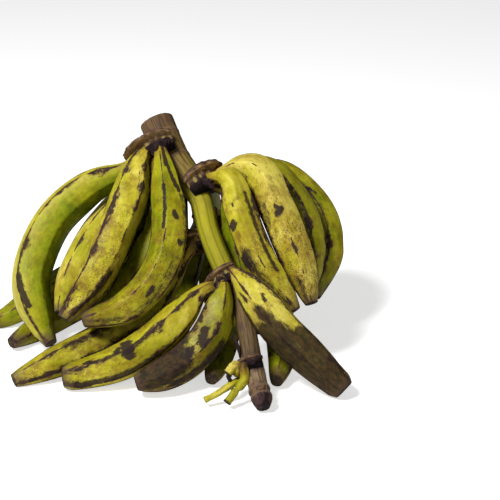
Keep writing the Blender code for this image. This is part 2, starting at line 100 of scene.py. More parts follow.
# The dished cut end, ring by ring: its share of the radius, and how deep it lies.
CUT_RINGS = ((0.97, 0.2), (0.93, 0.8), (0.80, 1.4), (0.62, 1.2), (0.42, 1.8), (0.22, 1.5))
DARK_FIBRE = (0.30, 0.24, 0.24)
PALE_FIBRE = (1.15, 1.10, 1.00)
# Painted shade, multiplied into the green stalk in its facet grooves and towards its sides.
PAINTED_STALK_SHADE = (0.38, 0.46, 0.40)
STALK_STAIN = (0.085, 0.045, 0.040)
RING_SCAR_TAN = (0.19, 0.125, 0.075)
CUT_TAN = (0.23, 0.165, 0.085)
# The stalk's colours from its thin end to its cut end, at shares of its length.
STALK_COLOURS = [
    (0.00, (0.018, 0.010, 0.012)),
    (0.030, (0.045, 0.022, 0.024)),
    (0.042, (0.210, 0.125, 0.055)),
    (0.052, (0.060, 0.034, 0.030)),
    (0.064, (0.200, 0.130, 0.080)),
    (0.100, (0.260, 0.190, 0.110)),
    (0.145, (0.055, 0.030, 0.032)),
    (0.175, (0.140, 0.094, 0.046)),
    (0.30, (0.180, 0.122, 0.048)),
    (0.41, (0.120, 0.085, 0.030)),
    (0.44, (0.350, 0.310, 0.016)),
    (0.62, (0.430, 0.385, 0.016)),
    (0.71, (0.380, 0.320, 0.024)),
    (0.75, (0.250, 0.190, 0.034)),
    (0.88, (0.205, 0.140, 0.046)),
    (1.00, (0.150, 0.088, 0.048)),
]


def unit(vector):
    return vector / np.linalg.norm(vector)


def mix_between(a, b, start, end, moment):
    return (a * (end - moment) + b * (moment - start)) / (end - start)


def evenly_spaced(points, count):
    lengths = np.concatenate([[0.0], np.cumsum(np.linalg.norm(np.diff(points, axis=0), axis=1))])
    marks = np.linspace(0, lengths[-1], count)
    line = np.stack([np.interp(marks, lengths, points[:, k]) for k in range(3)], axis=1)
    return line, lengths[-1]


def curve_through(points, count):
    """A smooth line through the points, as count points at equal spacing, and its length."""
    knots = np.array(points, float)
    steps = np.sqrt(np.linalg.norm(np.diff(knots, axis=0), axis=1))
    times = np.concatenate([[0.0], np.cumsum(steps)])
    before = 2 * knots[0] - knots[1]
    after = 2 * knots[-1] - knots[-2]
    knots = np.vstack([before, knots, after])
    times = np.concatenate([[times[0] - steps[0]], times, [times[-1] + steps[-1]]])
    fine = []
    for moment in np.linspace(times[1], times[-2], 4 * count):
        i = int(np.clip(np.searchsorted(times, moment, side="right") - 2, 0, len(knots) - 4))
        p, t = knots[i:i + 4], times[i:i + 4]
        level = [mix_between(p[k], p[k + 1], t[k], t[k + 1], moment) for k in range(3)]
        level = [mix_between(level[k], level[k + 1], t[k], t[k + 2], moment) for k in range(2)]
        fine.append(mix_between(level[0], level[1], t[1], t[2], moment))
    return evenly_spaced(np.array(fine), count)


class Stalk:
    """The stalk's middle line and radius, and places on and round it."""

    def __init__(self):
        self.line, self.length = curve_through([p for p, _ in STALK], STALK_STATIONS)
        knots = np.array([p for p, _ in STALK], float)
        reach = np.concatenate([[0.0], np.cumsum(np.linalg.norm(np.diff(knots, axis=0), axis=1))])
        self.marks = np.linspace(0, self.length, STALK_STATIONS)
        radii = np.array([radius for _, radius in STALK], float)
        self.radii = np.interp(self.marks, reach * self.length / reach[-1], radii)

    def centre(self, reach):
        return np.array([np.interp(reach, self.marks, self.line[:, k]) for k in range(3)])

    def frame(self, reach):
        """Centre, direction to the cut end, upper side, right side and radius at a reach."""
        along = unit(self.centre(reach + DIRECTION_SPAN) - self.centre(reach - DIRECTION_SPAN))
        upper = unit(TOWARDS_VIEWER - along * (TOWARDS_VIEWER @ along))
        right = np.cross(along, upper)
        radius = float(np.interp(reach, self.marks, self.radii))
        return self.centre(reach), along, upper, right, radius

    def outward(self, reach, degrees):
        _, _, upper, right, _ = self.frame(reach)
        turn = math.radians(degrees)
        return upper * math.cos(turn) + right * math.sin(turn)

    def angle_of(self, reach, point):
        """The angle round the stalk at which a point lies."""
        centre, _, upper, right, _ = self.frame(reach)
        gap = np.array(point, float) - centre
        return math.degrees(math.atan2(gap @ right, gap @ upper))

    def place(self, reach, degrees, depth):
        """The point that lies depth out from the stalk's surface."""
        centre, _, _, _, radius = self.frame(reach)
        return centre + self.outward(reach, degrees) * (radius + depth)


def roughly(place, scale, seed):
    """A smooth random value from -1 to 1 at a place, the same on each run."""
    return noise.noise(Vector(place) * scale + Vector((seed * 17.3, seed * 5.1, seed * 9.7)))


def tube_object(name, rings, values, surface):
    """A closed tube through rings of points, as the tables give them, with values at its points."""
    count, sides, _ = rings.shape
    ends = np.stack([rings[0].mean(axis=0), rings[-1].mean(axis=0)])
    points = (np.vstack([rings.reshape(-1, 3), ends]) - BASE_CENTRE) * MM
    points = np.clip(points, np.array(solid_low), np.array(solid_high))
    ring, side = np.meshgrid(np.arange(count - 1), np.arange(sides), indexing="ij")
    a = (ring * sides + side).ravel()
    b = (ring * sides + (side + 1) % sides).ravel()
    quads = np.stack([a, b, b + sides, a + sides], axis=1)
    spokes = np.arange(sides)
    first, last = count * sides, count * sides + 1
    base = (count - 1) * sides
    caps = [(first, (k + 1) % sides, k) for k in spokes]
    caps += [(last, base + k, base + (k + 1) % sides) for k in spokes]
    faces = quads.tolist() + caps
    corners = points[quads]
    volume = np.einsum("ij,ij->", corners[:, 0] - points[first],
                       np.cross(corners[:, 1] - points[first], corners[:, 3] - points[first]))
    if volume < 0:
        faces = [tuple(reversed(face)) for face in faces]
    mesh = bpy.data.meshes.new(name)
    mesh.from_pydata(points.tolist(), [], faces)
    mesh.validate()
    mesh.shade_smooth()
    for key, grid in values.items():
        flat = grid.reshape(count * sides, -1)
        flat = np.vstack([flat, grid[0].reshape(sides, -1).mean(axis=0)[None],
                          grid[-1].reshape(sides, -1).mean(axis=0)[None]])
        vector = flat.shape[1] == 3
        layer = mesh.attributes.new(key, "FLOAT_VECTOR" if vector else "FLOAT", "POINT")
        layer.data.foreach_set("vector" if vector else "value", flat.astype(np.float32).ravel())
    mesh.materials.append(surface)
    obj = bpy.data.objects.new(name, mesh)
    bpy.context.scene.collection.objects.link(obj)
    return obj


def add_node(tree, kind, sockets=None, **settings):
    """A shader node with its settings; each socket takes a value or another node's output."""
    made = tree.nodes.new(kind)
    for key, value in settings.items():
        setattr(made, key, value)
    for key, value in (sockets or {}).items():
        if isinstance(value, bpy.types.NodeSocket):
            tree.links.new(value, made.inputs[key])
        else:
            made.inputs[key].default_value = value
    return made


def stored(tree, name, output="Fac"):
    """The value that a mesh holds under a name."""
    return add_node(tree, "ShaderNodeAttribute", attribute_name=name).outputs[output]


def calc(tree, operation, a, b=0.0, c=0.0):
    made = add_node(tree, "ShaderNodeMath", {0: a, 1: b, 2: c}, operation=operation)
    return made.outputs[0]


def ramp_between(tree, value, low, high):
    """0 up to low and 1 from high on, with a smooth rise between them."""
    made = add_node(tree, "ShaderNodeMapRange",
                    {"Value": value, "From Min": low, "From Max": high},
                    interpolation_type="SMOOTHSTEP")
    return made.outputs["Result"]


def blend_colours(tree, factor, first, second, way="MIX"):
    made = add_node(tree, "ShaderNodeMix", {0: factor}, data_type="RGBA", blend_type=way)
    for socket, value in ((6, first), (7, second)):
        if isinstance(value, bpy.types.NodeSocket):
            tree.links.new(value, made.inputs[socket])
        else:
            made.inputs[socket].default_value = (*value, 1)
    return made.outputs[2]


def speckle(tree, place, scale, detail=3.0, rough=0.55, stretch=(1, 1, 1)):
    """Noise from 0 to 1 in the straightened surface's own millimetres."""
    grain = add_node(tree, "ShaderNodeMapping", {"Vector": place, "Scale": stretch})
    made = add_node(tree, "ShaderNodeTexNoise",
                    {"Vector": grain.outputs["Vector"], "Scale": scale, "Detail": detail,
                     "Roughness": rough})
    return made.outputs["Fac"]


def colour_steps(tree, value, stops):
    made = add_node(tree, "ShaderNodeValToRGB", {"Fac": value})
    band = made.color_ramp
    while len(band.elements) < len(stops):
        band.elements.new(0.5)
    for element, (at, colour) in zip(band.elements, stops):
        element.position = at
        element.color = (*colour, 1)
    return made.outputs["Color"]


def new_surface(name, roughness, specular):
    """A material with its Principled BSDF, ready for its colours."""
    made = bpy.data.materials.new(name)
    made.use_nodes = True
    shader = made.node_tree.nodes["Principled BSDF"]
    shader.inputs["Roughness"].default_value = roughness
    shader.inputs["Specular IOR Level"].default_value = specular
    return made, made.node_tree, shader


def roughen(tree, shader, height, strength, depth):
    """Fine relief that the mesh is too coarse for."""
    bump = add_node(tree, "ShaderNodeBump", {"Height": height, "Strength": strength,
                                             "Distance": depth})
    tree.links.new(bump.outputs["Normal"], shader.inputs["Normal"])


def start_group(name, inputs, outputs):
    """A shader node group with its named sockets; an input without a value is a vector."""
    group = bpy.data.node_groups.new(name, "ShaderNodeTree")
    for socket, value in inputs.items():
        kind = "NodeSocketVector" if value is None else "NodeSocketFloat"
        made = group.interface.new_socket(socket, in_out="INPUT", socket_type=kind)
        if value is not None:
            made.default_value = value
    for socket in outputs:
        group.interface.new_socket(socket, in_out="OUTPUT", socket_type="NodeSocketFloat")
    given = group.nodes.new("NodeGroupInput").outputs
    wanted = group.nodes.new("NodeGroupOutput").inputs
    return group, given, wanted


def make_fibre_group():
    """Long fibres: pale and dark streaks that run along the straightened surface."""
    group, given, wanted = start_group("plant fibres", {"Place": None, "Fineness": 1.0},
                                       ("Streaks", "Blotches"))
    scaled = add_node(group, "ShaderNodeVectorMath",
                      {0: given["Place"], "Scale": given["Fineness"]}, operation="SCALE")
    place = scaled.outputs[0]
    fine = speckle(group, place, scale=0.55, detail=4.0, rough=0.6, stretch=(1, 1, 0.045))
    broad = speckle(group, place, scale=0.16, detail=3.0, rough=0.6, stretch=(1, 1, 0.12))
    patch = speckle(group, place, scale=0.09, detail=4.0, rough=0.65, stretch=(1, 1, 0.6))
    both = calc(group, "MULTIPLY_ADD", fine, 0.65, calc(group, "MULTIPLY", broad, 0.35))
    group.links.new(both, wanted["Streaks"])
    group.links.new(patch, wanted["Blotches"])
    return group


FIBRES = make_fibre_group()


def use_group(tree, group, **inputs):
    made = tree.nodes.new("ShaderNodeGroup")
    made.node_tree = group
    for key, value in inputs.items():
        if isinstance(value, bpy.types.NodeSocket):
            tree.links.new(value, made.inputs[key])
        else:
            made.inputs[key].default_value = value
    return made.outputs


def streak_with_fibres(tree, fibres, amount, colour, dark, pale):
    """The colours, streaked with dark and pale fibres."""
    shade = ramp_between(tree, fibres["Streaks"], 0.36, 0.58)
    return blend_colours(tree, amount, colour, blend_colours(tree, shade, dark, pale), "MULTIPLY")


def make_stalk_surface():
    made, tree, shader = new_surface("plantain_stalk", roughness=0.62, specular=0.16)
    place = stored(tree, "skin_place", "Vector")
    fibres = use_group(tree, FIBRES, Place=place, Fineness=1.0)
    wander = calc(tree, "MULTIPLY_ADD", fibres["Blotches"], 0.10, -0.05)
    reach = calc(tree, "ADD", stored(tree, "reach"), wander)
    dry = stored(tree, "dry")
    streaked = calc(tree, "MULTIPLY_ADD", dry, 0.75, 0.15)
    colour = colour_steps(tree, reach, STALK_COLOURS)
    colour = streak_with_fibres(tree, fibres, streaked, colour, DARK_FIBRE, PALE_FIBRE)
    # Painted shade in the green stalk's grooves and on its sides away from the camera.
    colour = blend_colours(tree, stored(tree, "painted_shade"), colour, PAINTED_STALK_SHADE, "MULTIPLY")
    stains = ramp_between(tree, fibres["Blotches"], 0.50, 0.66)
    stains = calc(tree, "MULTIPLY", stains, calc(tree, "MULTIPLY_ADD", dry, 0.60, 0.15))
    colour = blend_colours(tree, stains, colour, STALK_STAIN)
    colour = blend_colours(tree, stored(tree, "ring_scar"), colour, RING_SCAR_TAN)
    colour = blend_colours(tree, stored(tree, "cut_face"), colour, CUT_TAN)
    tree.links.new(colour, shader.inputs["Base Color"])
    roughen(tree, shader, fibres["Streaks"], strength=0.7, depth=0.0012)
    return made


def make_stalk(stalk):
    """Rings with ribs along them, raised scars where bracts fell off, and a dished cut end."""
    rings, places, painted_shade_rows, ring_values = [], [], [], []
    relief = STALK_RELIEF
    turns = np.linspace(0, 2 * math.pi, STALK_SIDES, endpoint=False)
    steps = [(reach, 1.0, 0.0, 0.0) for reach in np.linspace(0, stalk.length, STALK_RINGS)]
    steps += [(stalk.length, share, dip, 1.0) for share, dip in CUT_RINGS]
    for reach, share, dip, cut in steps:
        centre, along, upper, right, radius = stalk.frame(reach)
        scar = max(math.exp(-((reach - at) / RING_SCAR["width"]) ** 2) for at in RING_SCARS)
        waist = WAIST["depth"] * math.exp(-((reach - WAIST["at"]) / WAIST["width"]) ** 2)
        starting = np.clip((reach - GREEN["start"]) / GREEN["rise"], 0, 1)
        green = starting * np.clip((GREEN["end"] - reach) / GREEN["fade"], 0, 1)
        dry = np.clip(1 - reach / DRY_TIP, 0, 1)
        row, painted_shade_row = [], []
        for turn in turns:
            around = (math.cos(turn) * 11, math.sin(turn) * 11, reach * 0.10)
            twist = 0.10 + 0.05 * math.sin(reach / 50)
            facet = abs((turn * STALK_FACETS / (2 * math.pi) + twist) % 1 - 0.5)
            rib = relief["facet"] * (facet - 0.25) * (0.35 + 0.65 * green)
            ridge = relief["ridge"] + relief["dry_ridge"] * dry
            rib += ridge * math.cos(FIBRE_RIDGES * turn + reach / 90)
            # Painted shade: full in each facet's groove, and more towards the sides seen from the
            # camera.
            painted_shade = max(0.0, 1 - facet / FACET_GROOVE)
            painted_shade_row.append(green * (painted_shade * 0.75 + 0.5 * math.sin(turn) ** 2))
            lump = relief["lump"] * roughly((around[0] * 0.2, around[1] * 0.2, reach * 0.02), 1.0, 3)
            fibre = relief["fibre"] * roughly(around, 0.55, 8)
            wide = radius * (1 + rib + lump + fibre * (1 + 3 * dry) - waist)
            wide += RING_SCAR["height"] * scar
            out = upper * math.cos(turn) + right * math.sin(turn)
            dent = dip * (1 + 0.5 * roughly((around[0] * share, around[1] * share, 0), 0.5, 5))
            row.append(centre + out * wide * share - along * dent)
        rings.append(row)
        places.append([(math.cos(t) * radius * share, math.sin(t) * radius * share, reach + dip)
                       for t in turns])
        painted_shade_rows.append(painted_shade_row)
        ring_values.append((reach / stalk.length, scar, cut, 1 - green))
    values = {"skin_place": np.array(places), "painted_shade": np.array(painted_shade_rows)}
    for key, column in zip(("reach", "ring_scar", "cut_face", "dry"), zip(*ring_values)):
        values[key] = np.repeat(np.array(column)[:, None], STALK_SIDES, axis=1)
    piece = tube_object("fibrous_stalk", np.array(rings), values, make_stalk_surface())
    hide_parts("stalk")
    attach(piece, "root")


stalk = Stalk()
make_stalk(stalk)

# A crown is the corky cushion by which a whole hand grows from the stalk. A scarred lip of dry
# brown tissue arches over it where a bract has fallen off. Underneath it darkens to near-black,
# partly its own cork and partly painted shade under the lip.
CROWN_RINGS = 70
CROWN_SIDES = 44
FOLD_DEPTH = 0.12
CREASE_DEPTH = 0.07
CROWN_DARK_FIBRE = (0.30, 0.25, 0.27)
CROWN_PALE_FIBRE = (1.20, 1.12, 1.02)
OLIVE_PATCH = (0.300, 0.235, 0.075)
# Each crown lies at a reach along the stalk, between two angles round it. Its reach and thickness
# are given for both ends.
CROWNS = {
    "hand_1": dict(reach=(384, 370), start=-130, end=26, thick=(40, 21), tall=15),
    "hand_2": dict(reach=(302, 311), start=-18, end=150, thick=(15, 32), tall=15),
    "hand_3": dict(reach=(174, 178), start=-104, end=50, thick=(20, 13), tall=10),
    "hand_4": dict(reach=(240, 240), start=-148, end=-72, thick=(15, 15), tall=12),
    "hand_5": dict(reach=(272, 272), start=134, end=228, thick=(15, 15), tall=12),
    "hand_6": dict(reach=(346, 346), start=150, end=222, thick=(16, 16), tall=13),
}
STUNTED_CROWN = dict(reach=(58, 58), start=-120, end=60, thick=(7, 7), tall=9)
# The section's corners, as shares of the crown's height and of its thickness.
CROWN_SECTION = np.array([
    (1.15, -0.45),
    (1.13, 0.02),
    (1.00, 0.45),
    (0.84, 0.84),
    (0.62, 0.98),
    (0.42, 0.90),
    (0.28, 0.66),
    (0.00, 0.62),
    (-0.40, 0.72),
    (-0.80, 0.55),
    (-0.98, 0.08),
    (-0.98, -0.45),
])
# The crown's colours from its underside to the lip that arches over it. The near-black low stops
# are partly painted shade under the lip, and the pale tan band at the lip's rim is partly a painted
# highlight.
CROWN_COLOURS_SHADE_AND_HIGHLIGHT = [
    (0.00, (0.010, 0.007, 0.008)),
    (0.36, (0.022, 0.014, 0.014)),
    (0.50, (0.075, 0.045, 0.030)),
    (0.62, (0.155, 0.095, 0.050)),
    (0.72, (0.360, 0.240, 0.115)),
    (0.80, (0.135, 0.080, 0.055)),
    (0.90, (0.085, 0.052, 0.042)),
    (1.00, (0.190, 0.140, 0.070)),
]


def make_crown_surface():
    made, tree, shader = new_surface("crown_cork", roughness=0.78, specular=0.12)
    place = stored(tree, "skin_place", "Vector")
    fibres = use_group(tree, FIBRES, Place=place, Fineness=1.6)
    height = calc(tree, "MULTIPLY_ADD", fibres["Blotches"], 0.30, stored(tree, "height"))
    # Near-black low down is partly painted shade; the tan band at the rim is partly painted
    # highlight.
    colour = colour_steps(tree, calc(tree, "SUBTRACT", height, 0.15), CROWN_COLOURS_SHADE_AND_HIGHLIGHT)
    colour = streak_with_fibres(tree, fibres, 0.85, colour, CROWN_DARK_FIBRE, CROWN_PALE_FIBRE)
    olive = calc(tree, "ADD", stored(tree, "olive"), fibres["Blotches"])
    olive = calc(tree, "MULTIPLY", ramp_between(tree, olive, 0.95, 1.15), 0.85)
    colour = blend_colours(tree, olive, colour, OLIVE_PATCH)
    tree.links.new(colour, shader.inputs["Base Color"])
    roughen(tree, shader, fibres["Streaks"], strength=0.8, depth=0.0015)
    return made


def crown_size(crown, angle):
    """The crown's reach along the stalk and its thickness, which change from end to end."""
    share = np.clip((angle - crown["start"]) / (crown["end"] - crown["start"]), 0, 1)
    return [pair[0] + share * (pair[1] - pair[0]) for pair in (crown["reach"], crown["thick"])]


def crown_section():
    """The cushion's section as a smooth closed outline, height and depth as shares."""
    ends = np.vstack([CROWN_SECTION[0], CROWN_SECTION, CROWN_SECTION[-1]])
    steps = np.linspace(1, len(CROWN_SECTION), CROWN_SIDES)
    outline = []
    for step in steps:
        k = min(int(step), len(CROWN_SECTION) - 1)
        t = step - k
        p0, p1, p2, p3 = ends[k - 1], ends[k], ends[k + 1], ends[min(k + 2, len(ends) - 1)]
        outline.append(0.5 * (2 * p1 + (p2 - p0) * t + (2 * p0 - 5 * p1 + 4 * p2 - p3) * t**2
                              + (3 * p1 - p0 - 3 * p2 + p3) * t**3))
    return np.array(outline)


def make_crown(name, crown, seed, surface):
    """A cushion bent round the stalk, folded and creased, that thins out towards both its ends."""
    outline = crown_section()
    rings, places, heights, olives = [], [], [], []
    for step in range(CROWN_RINGS):
        share = step / (CROWN_RINGS - 1)
        angle = crown["start"] + share * (crown["end"] - crown["start"])
        fullness = 0.35 + 0.65 * math.sqrt(max(0.0, 1 - (2 * share - 1) ** 4))
        reach, thick = crown_size(crown, angle)
        patch = np.clip(0.5 + 1.6 * roughly((angle * 0.07, 2, 5), 1.0, seed + 9), 0, 1)
        row, spots, levels, olive = [], [], [], []
        for height, depth in outline:
            fold = roughly((angle * 0.16, height * 0.7, depth * 0.7), 1.0, seed)
            crease = roughly((angle * 0.55, height * 0.8, depth * 0.8), 1.0, seed + 4)
            bulk = 1 + FOLD_DEPTH * fold + CREASE_DEPTH * crease
            lift = crown["tall"] * height * (0.7 + 0.3 * fullness)
            out = thick * depth * (fullness * bulk if depth > 0 else 1)
            row.append(stalk.place(reach + lift, angle, out))
            spots.append((height * crown["tall"] + 40 * seed, depth * thick, angle * 0.45))
            levels.append(height * 0.5 + 0.5 + 0.06 * fold)
            olive.append(math.exp(-((height + 0.02) / 0.34) ** 2) * patch)
        rings.append(row)
        places.append(spots)
        heights.append(levels)
        olives.append(olive)
    values = {"skin_place": np.array(places), "height": np.array(heights),
              "olive": np.array(olives)}
    piece = tube_object(name + "_cushion", np.array(rings), values, surface)
    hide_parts(name + "_crown")
    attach(piece, "root")


crown_surface = make_crown_surface()
for number, (name, crown) in enumerate({**CROWNS, "stunted": STUNTED_CROWN}.items()):
    make_crown(name, crown, number + 1, crown_surface)

# A finger is one fruit: a curved, five-ridged body on a slim neck, with a blunt dark stub where
# its flower was. Its waxy peel is green, yellower outside the bend, and bruised along its ridges.
RIDGES = 5
FACE_ANGLE = 360 / RIDGES
RIDGE_RISE = 1.035
RIDGE_SOFTNESS = 0.64
FINGER_SIDES = 80
FINGER_RINGS = 150
LUMP_DEPTH = 0.014
TIP_AT = (0.92, 0.965, 1.0)
# Each finger's line runs from its crown to its tip. Its girth is its thickness, its tip is about
# the share of that at its end, its neck is a share of a neck's usual length, and its turn is the
# angle from its outer side to its first ridge. One under another grows from lower on the crown, and
# one that rests lies on the table.
FINGERS = {
    "finger_1_1": dict(girth=50, tip=0.36, turn=2, line=[
        (-163, 256, 196), (-208, 256, 164), (-257, 235, 127), (-284, 192, 72), (-271, 156, 33),
        (-258, 137, 17)]),
    "finger_1_2": dict(under=True, girth=44, tip=0.40, turn=30, line=[
        (-150, 274, 188), (-195, 250, 145), (-220, 217, 110), (-239, 182, 76), (-250, 157, 48)]),
    "finger_1_3": dict(girth=46, neck=0.78, tip=0.38, turn=-5, line=[
        (-145, 240, 222), (-150, 220, 190), (-172, 175, 146), (-200, 135, 102), (-236, 105, 66)]),
    "finger_1_4": dict(under=True, girth=38, tip=0.40, turn=20, line=[
        (-146, 250, 198), (-147, 230, 155), (-164, 198, 117), (-186, 165, 84), (-211, 140, 62)]),
    "finger_1_5": dict(under=True, girth=38, tip=0.40, turn=0, line=[
        (-136, 230, 204), (-131, 230, 150), (-142, 200, 110), (-166, 168, 76), (-198, 148, 54)]),
    "finger_1_6": dict(girth=44, tip=0.44, turn=15, line=[
        (-116, 217, 219), (-106, 205, 180), (-105, 168, 140), (-120, 135, 102), (-160, 112, 68),
        (-211, 105, 55)]),
    "finger_2_1": dict(under=True, girth=38, tip=0.40, turn=0, line=[
        (-51, 212, 190), (-48, 205, 145), (-32, 185, 105), (-14, 160, 66), (2, 132, 32)]),
    "finger_2_2": dict(girth=40, tip=0.40, turn=25, line=[
        (-40, 192, 208), (-32, 180, 183), (-19, 154, 150), (-2, 127, 119), (17, 105, 95),
        (31, 92, 77)]),
    "finger_2_3": dict(girth=46, neck=0.8, tip=0.40, turn=0, line=[
        (-28, 234, 206), (-8, 230, 203), (12, 202, 173), (32, 164, 133), (47, 136, 100),
        (57, 119, 79)]),
    "finger_2_4": dict(girth=44, neck=0.9, tip=0.40, turn=20, line=[
        (-32, 250, 197), (2, 258, 192), (38, 236, 158), (54, 200, 125), (57, 160, 79)]),
    "finger_2_5": dict(girth=44, tip=0.40, turn=40, line=[
        (-42, 262, 190), (-10, 283, 184), (28, 292, 178), (70, 265, 143), (81, 222, 104),
        (64, 182, 60)]),
    "finger_3_1": dict(rests=True, girth=45, tip=0.62, turn=34, line=[
        (-72, 112, 96), (-92, 98, 76), (-124, 82, 53), (-162, 68, 33), (-206, 61, 22),
        (-234, 58, 19)]),
    "finger_3_2": dict(girth=44, tip=0.48, turn=0, line=[
        (-46, 103, 103), (-54, 88, 73), (-70, 73, 47), (-90, 60, 31), (-118, 42, 23),
        (-146, 33, 18)]),
    "finger_3_3": dict(rests=True, girth=47, tip=0.62, turn=0, line=[
        (-24, 101, 115), (-5, 91, 96), (20, 75, 69), (51, 59, 44), (77, 42, 25),
        (92, 32, 14)]),
    "finger_4_1": dict(rests=True, girth=42, tip=0.45, turn=0, line=[
        (-88, 210, 134), (-150, 240, 118), (-215, 250, 84), (-272, 240, 52), (-328, 224, 20),
        (-348, 216, 15)]),
    "finger_4_2": dict(rests=True, under=True, girth=40, tip=0.45, turn=30, line=[
        (-92, 188, 120), (-150, 204, 98), (-205, 216, 66), (-248, 212, 38), (-280, 190, 22),
        (-308, 150, 14)]),
    "finger_4_3": dict(rests=True, girth=42, tip=0.45, turn=15, line=[
        (-92, 168, 128), (-146, 150, 80), (-198, 116, 50), (-251, 80, 28), (-291, 60, 14)]),
    "finger_5_1": dict(rests=True, girth=42, tip=0.42, turn=0, line=[
        (-80, 226, 142), (-92, 236, 105), (-105, 230, 62), (-112, 185, 26), (-108, 125, 21),
        (-104, 85, 16)]),
    "finger_5_2": dict(rests=True, under=True, girth=42, tip=0.42, turn=20, line=[
        (-58, 214, 145), (-52, 230, 110), (-48, 230, 62), (-49, 180, 26), (-53, 112, 21),
        (-62, 54, 16)]),
    "finger_5_3": dict(rests=True, girth=42, tip=0.42, turn=0, line=[
        (-42, 222, 148), (-26, 232, 110), (0, 225, 62), (18, 170, 28), (22, 108, 21),
        (15, 50, 16)]),
    "finger_6_1": dict(rests=True, girth=42, tip=0.42, turn=0, line=[
        (-126, 276, 186), (-148, 301, 185), (-170, 327, 140), (-176, 328, 80), (-165, 288, 36),
        (-152, 240, 20)]),
    "finger_6_2": dict(rests=True, girth=42, tip=0.42, turn=30, line=[
        (-104, 273, 182), (-119, 306, 174), (-122, 338, 138), (-121, 345, 80), (-115, 304, 34),
        (-108, 254, 20)]),
    "finger_6_3": dict(rests=True, girth=42, tip=0.42, turn=10, line=[
        (-88, 268, 192), (-87, 301, 184), (-78, 336, 140), (-72, 340, 80), (-66, 300, 34),
        (-60, 254, 20)]),
}
# How ripe each finger is, from 0 for green to 1 for yellow, how much yellower its outer side is,
# how freckled it is, and how badly each of its five ridges is scuffed.
PLAIN_FINGER = dict(tone=0.40, sunny=0.14, freckles=0.5, scuffs=(0.15, 0.25, 0.05, 0.20, 0.10))
# What differs from that on a finger that shows well.
FINGER_TONES = {
    "finger_1_1": dict(tone=0.46, sunny=0.40, freckles=0.10, scuffs=(0.10, 0.10, 0.0, -0.4, 0.30)),
    "finger_1_2": dict(tone=0.82, freckles=0.30, scuffs=(0.10, 0.10, 0.15, 0.10, 0.20)),
    "finger_1_3": dict(tone=0.66, freckles=0.80, scuffs=(0.15, 0.50, 0.10, 0.20, 0.30)),
    "finger_1_4": dict(tone=0.30, freckles=0.50, scuffs=(0.20, 0.30, 0.20, 0.20, 0.20)),
    "finger_1_6": dict(tone=0.44, freckles=0.80, scuffs=(0.05, -0.05, 0.10, 0.20, 0.20)),
    "finger_2_1": dict(tone=0.25, freckles=0.40, scuffs=(0.20, 0.30, 0.20, 0.20, 0.20)),
    "finger_2_2": dict(tone=0.62, freckles=0.75, scuffs=(-0.35, 0.10, 0.10, 0.20, 0.40)),
    "finger_2_3": dict(tone=0.88, freckles=0.85, scuffs=(0.25, -0.2, 0.45, 0.20, 0.20)),
    "finger_2_4": dict(tone=0.44, freckles=0.50, scuffs=(0.20, 0.35, 0.20, 0.20, 0.20)),
    "finger_2_5": dict(tone=0.42, freckles=0.40, scuffs=(0.15, 0.25, 0.20, 0.20, 0.20)),
    "finger_3_1": dict(tone=0.62, freckles=0.50, scuffs=(0.40, 0.25, 0.10, 0.20, 0.30)),
    # finger_3_2 lies in finger_3_1's shadow; its full freckling is partly painted shadow.
    "finger_3_2": dict(tone=0.46, sunny=0.05, freckles=1.0, scuffs=(0.40, 0.20, 0.50, 0.40, 0.30)),
    "finger_3_3": dict(tone=0.76, freckles=0.70, scuffs=(0.15, 0.50, 0.30, 0.30, 0.40)),
    "finger_4_3": dict(tone=0.72, freckles=0.60, scuffs=(0.40, 0.40, 0.20, 0.30, 0.30)),
}
# The thickness along a finger, as shares of its length and of its girth, up to where its tip starts.
SWELL_AT = np.array([0.0, 0.06, 0.12, 0.20, 0.30, 0.50, 0.70, 0.84])
SWELL = np.array([0.36, 0.37, 0.46, 0.72, 0.93, 1.0, 0.98, 0.86])
NECK_DROP = 9
NECK_START = 3
FINGER_GAP = 1.0
# How deep a resting finger's underside would lie in the table, which presses its peel flat there.
REST_SINK = 2.2
SETTLE_STATIONS = 34
SETTLE_ROUNDS = 360
GENTLE_ROUNDS = 60
SETTLE_STEP = 0.35
SEARCH_EVERY = 20
SEARCH_MARGIN = 12
# Shares of a finger's length from its root, from where on it is kept off the other fingers, the
# stalk, the table and its own crown.
OFF_FINGERS = 0.05
OFF_STALK = 0.08
OFF_TABLE = 0.1
OFF_CROWN = 0.2
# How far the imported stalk's ribs stand out, as a share of its radius.
STALK_RIB = 0.035
STALK_POST_SPACING = 5
# The balls that stand for a crown: their lift and depth as shares of its height and thickness.
CROWN_POSTS = ((-0.45, 0.35), (0.1, 0.35), (0.6, 0.0))
CROWN_POST_SIZE = 0.62
# How the scuffs on a ridge widen, in millimetres from its line, as it is worn more.
SCUFF_LEAST = 1.0
SCUFF_MORE = 13
SCUFF_WANDER = 0.85
# The stub at the tip, ring by ring: its share of the last ring, and its step outward.
STUB_RINGS = ((0.88, 0.7), (0.66, 0.4), (0.35, -0.5))


def smooth_profile(at, values, where):
    """A smooth profile through a few values."""
    slopes = np.gradient(values, at)
    i = np.clip(np.searchsorted(at, where, side="right") - 1, 0, len(at) - 2)
    width = at[i + 1] - at[i]
    u = (where - at[i]) / width
    return ((2 * u**3 - 3 * u**2 + 1) * values[i] + (u**3 - 2 * u**2 + u) * width * slopes[i]
            + (-2 * u**3 + 3 * u**2) * values[i + 1] + (u**3 - u**2) * width * slopes[i + 1])


def finger_swell(where, tip, neck):
    """The finger's thickness along its length: a slim neck, a full body and a blunt tip."""
    at = np.concatenate([SWELL_AT, TIP_AT])
    at[at < 0.4] *= neck
    share = np.concatenate([SWELL, [0.42 + 0.55 * tip, 0.10 + 0.95 * tip, 0.85 * tip]])
    return smooth_profile(at, share, where)


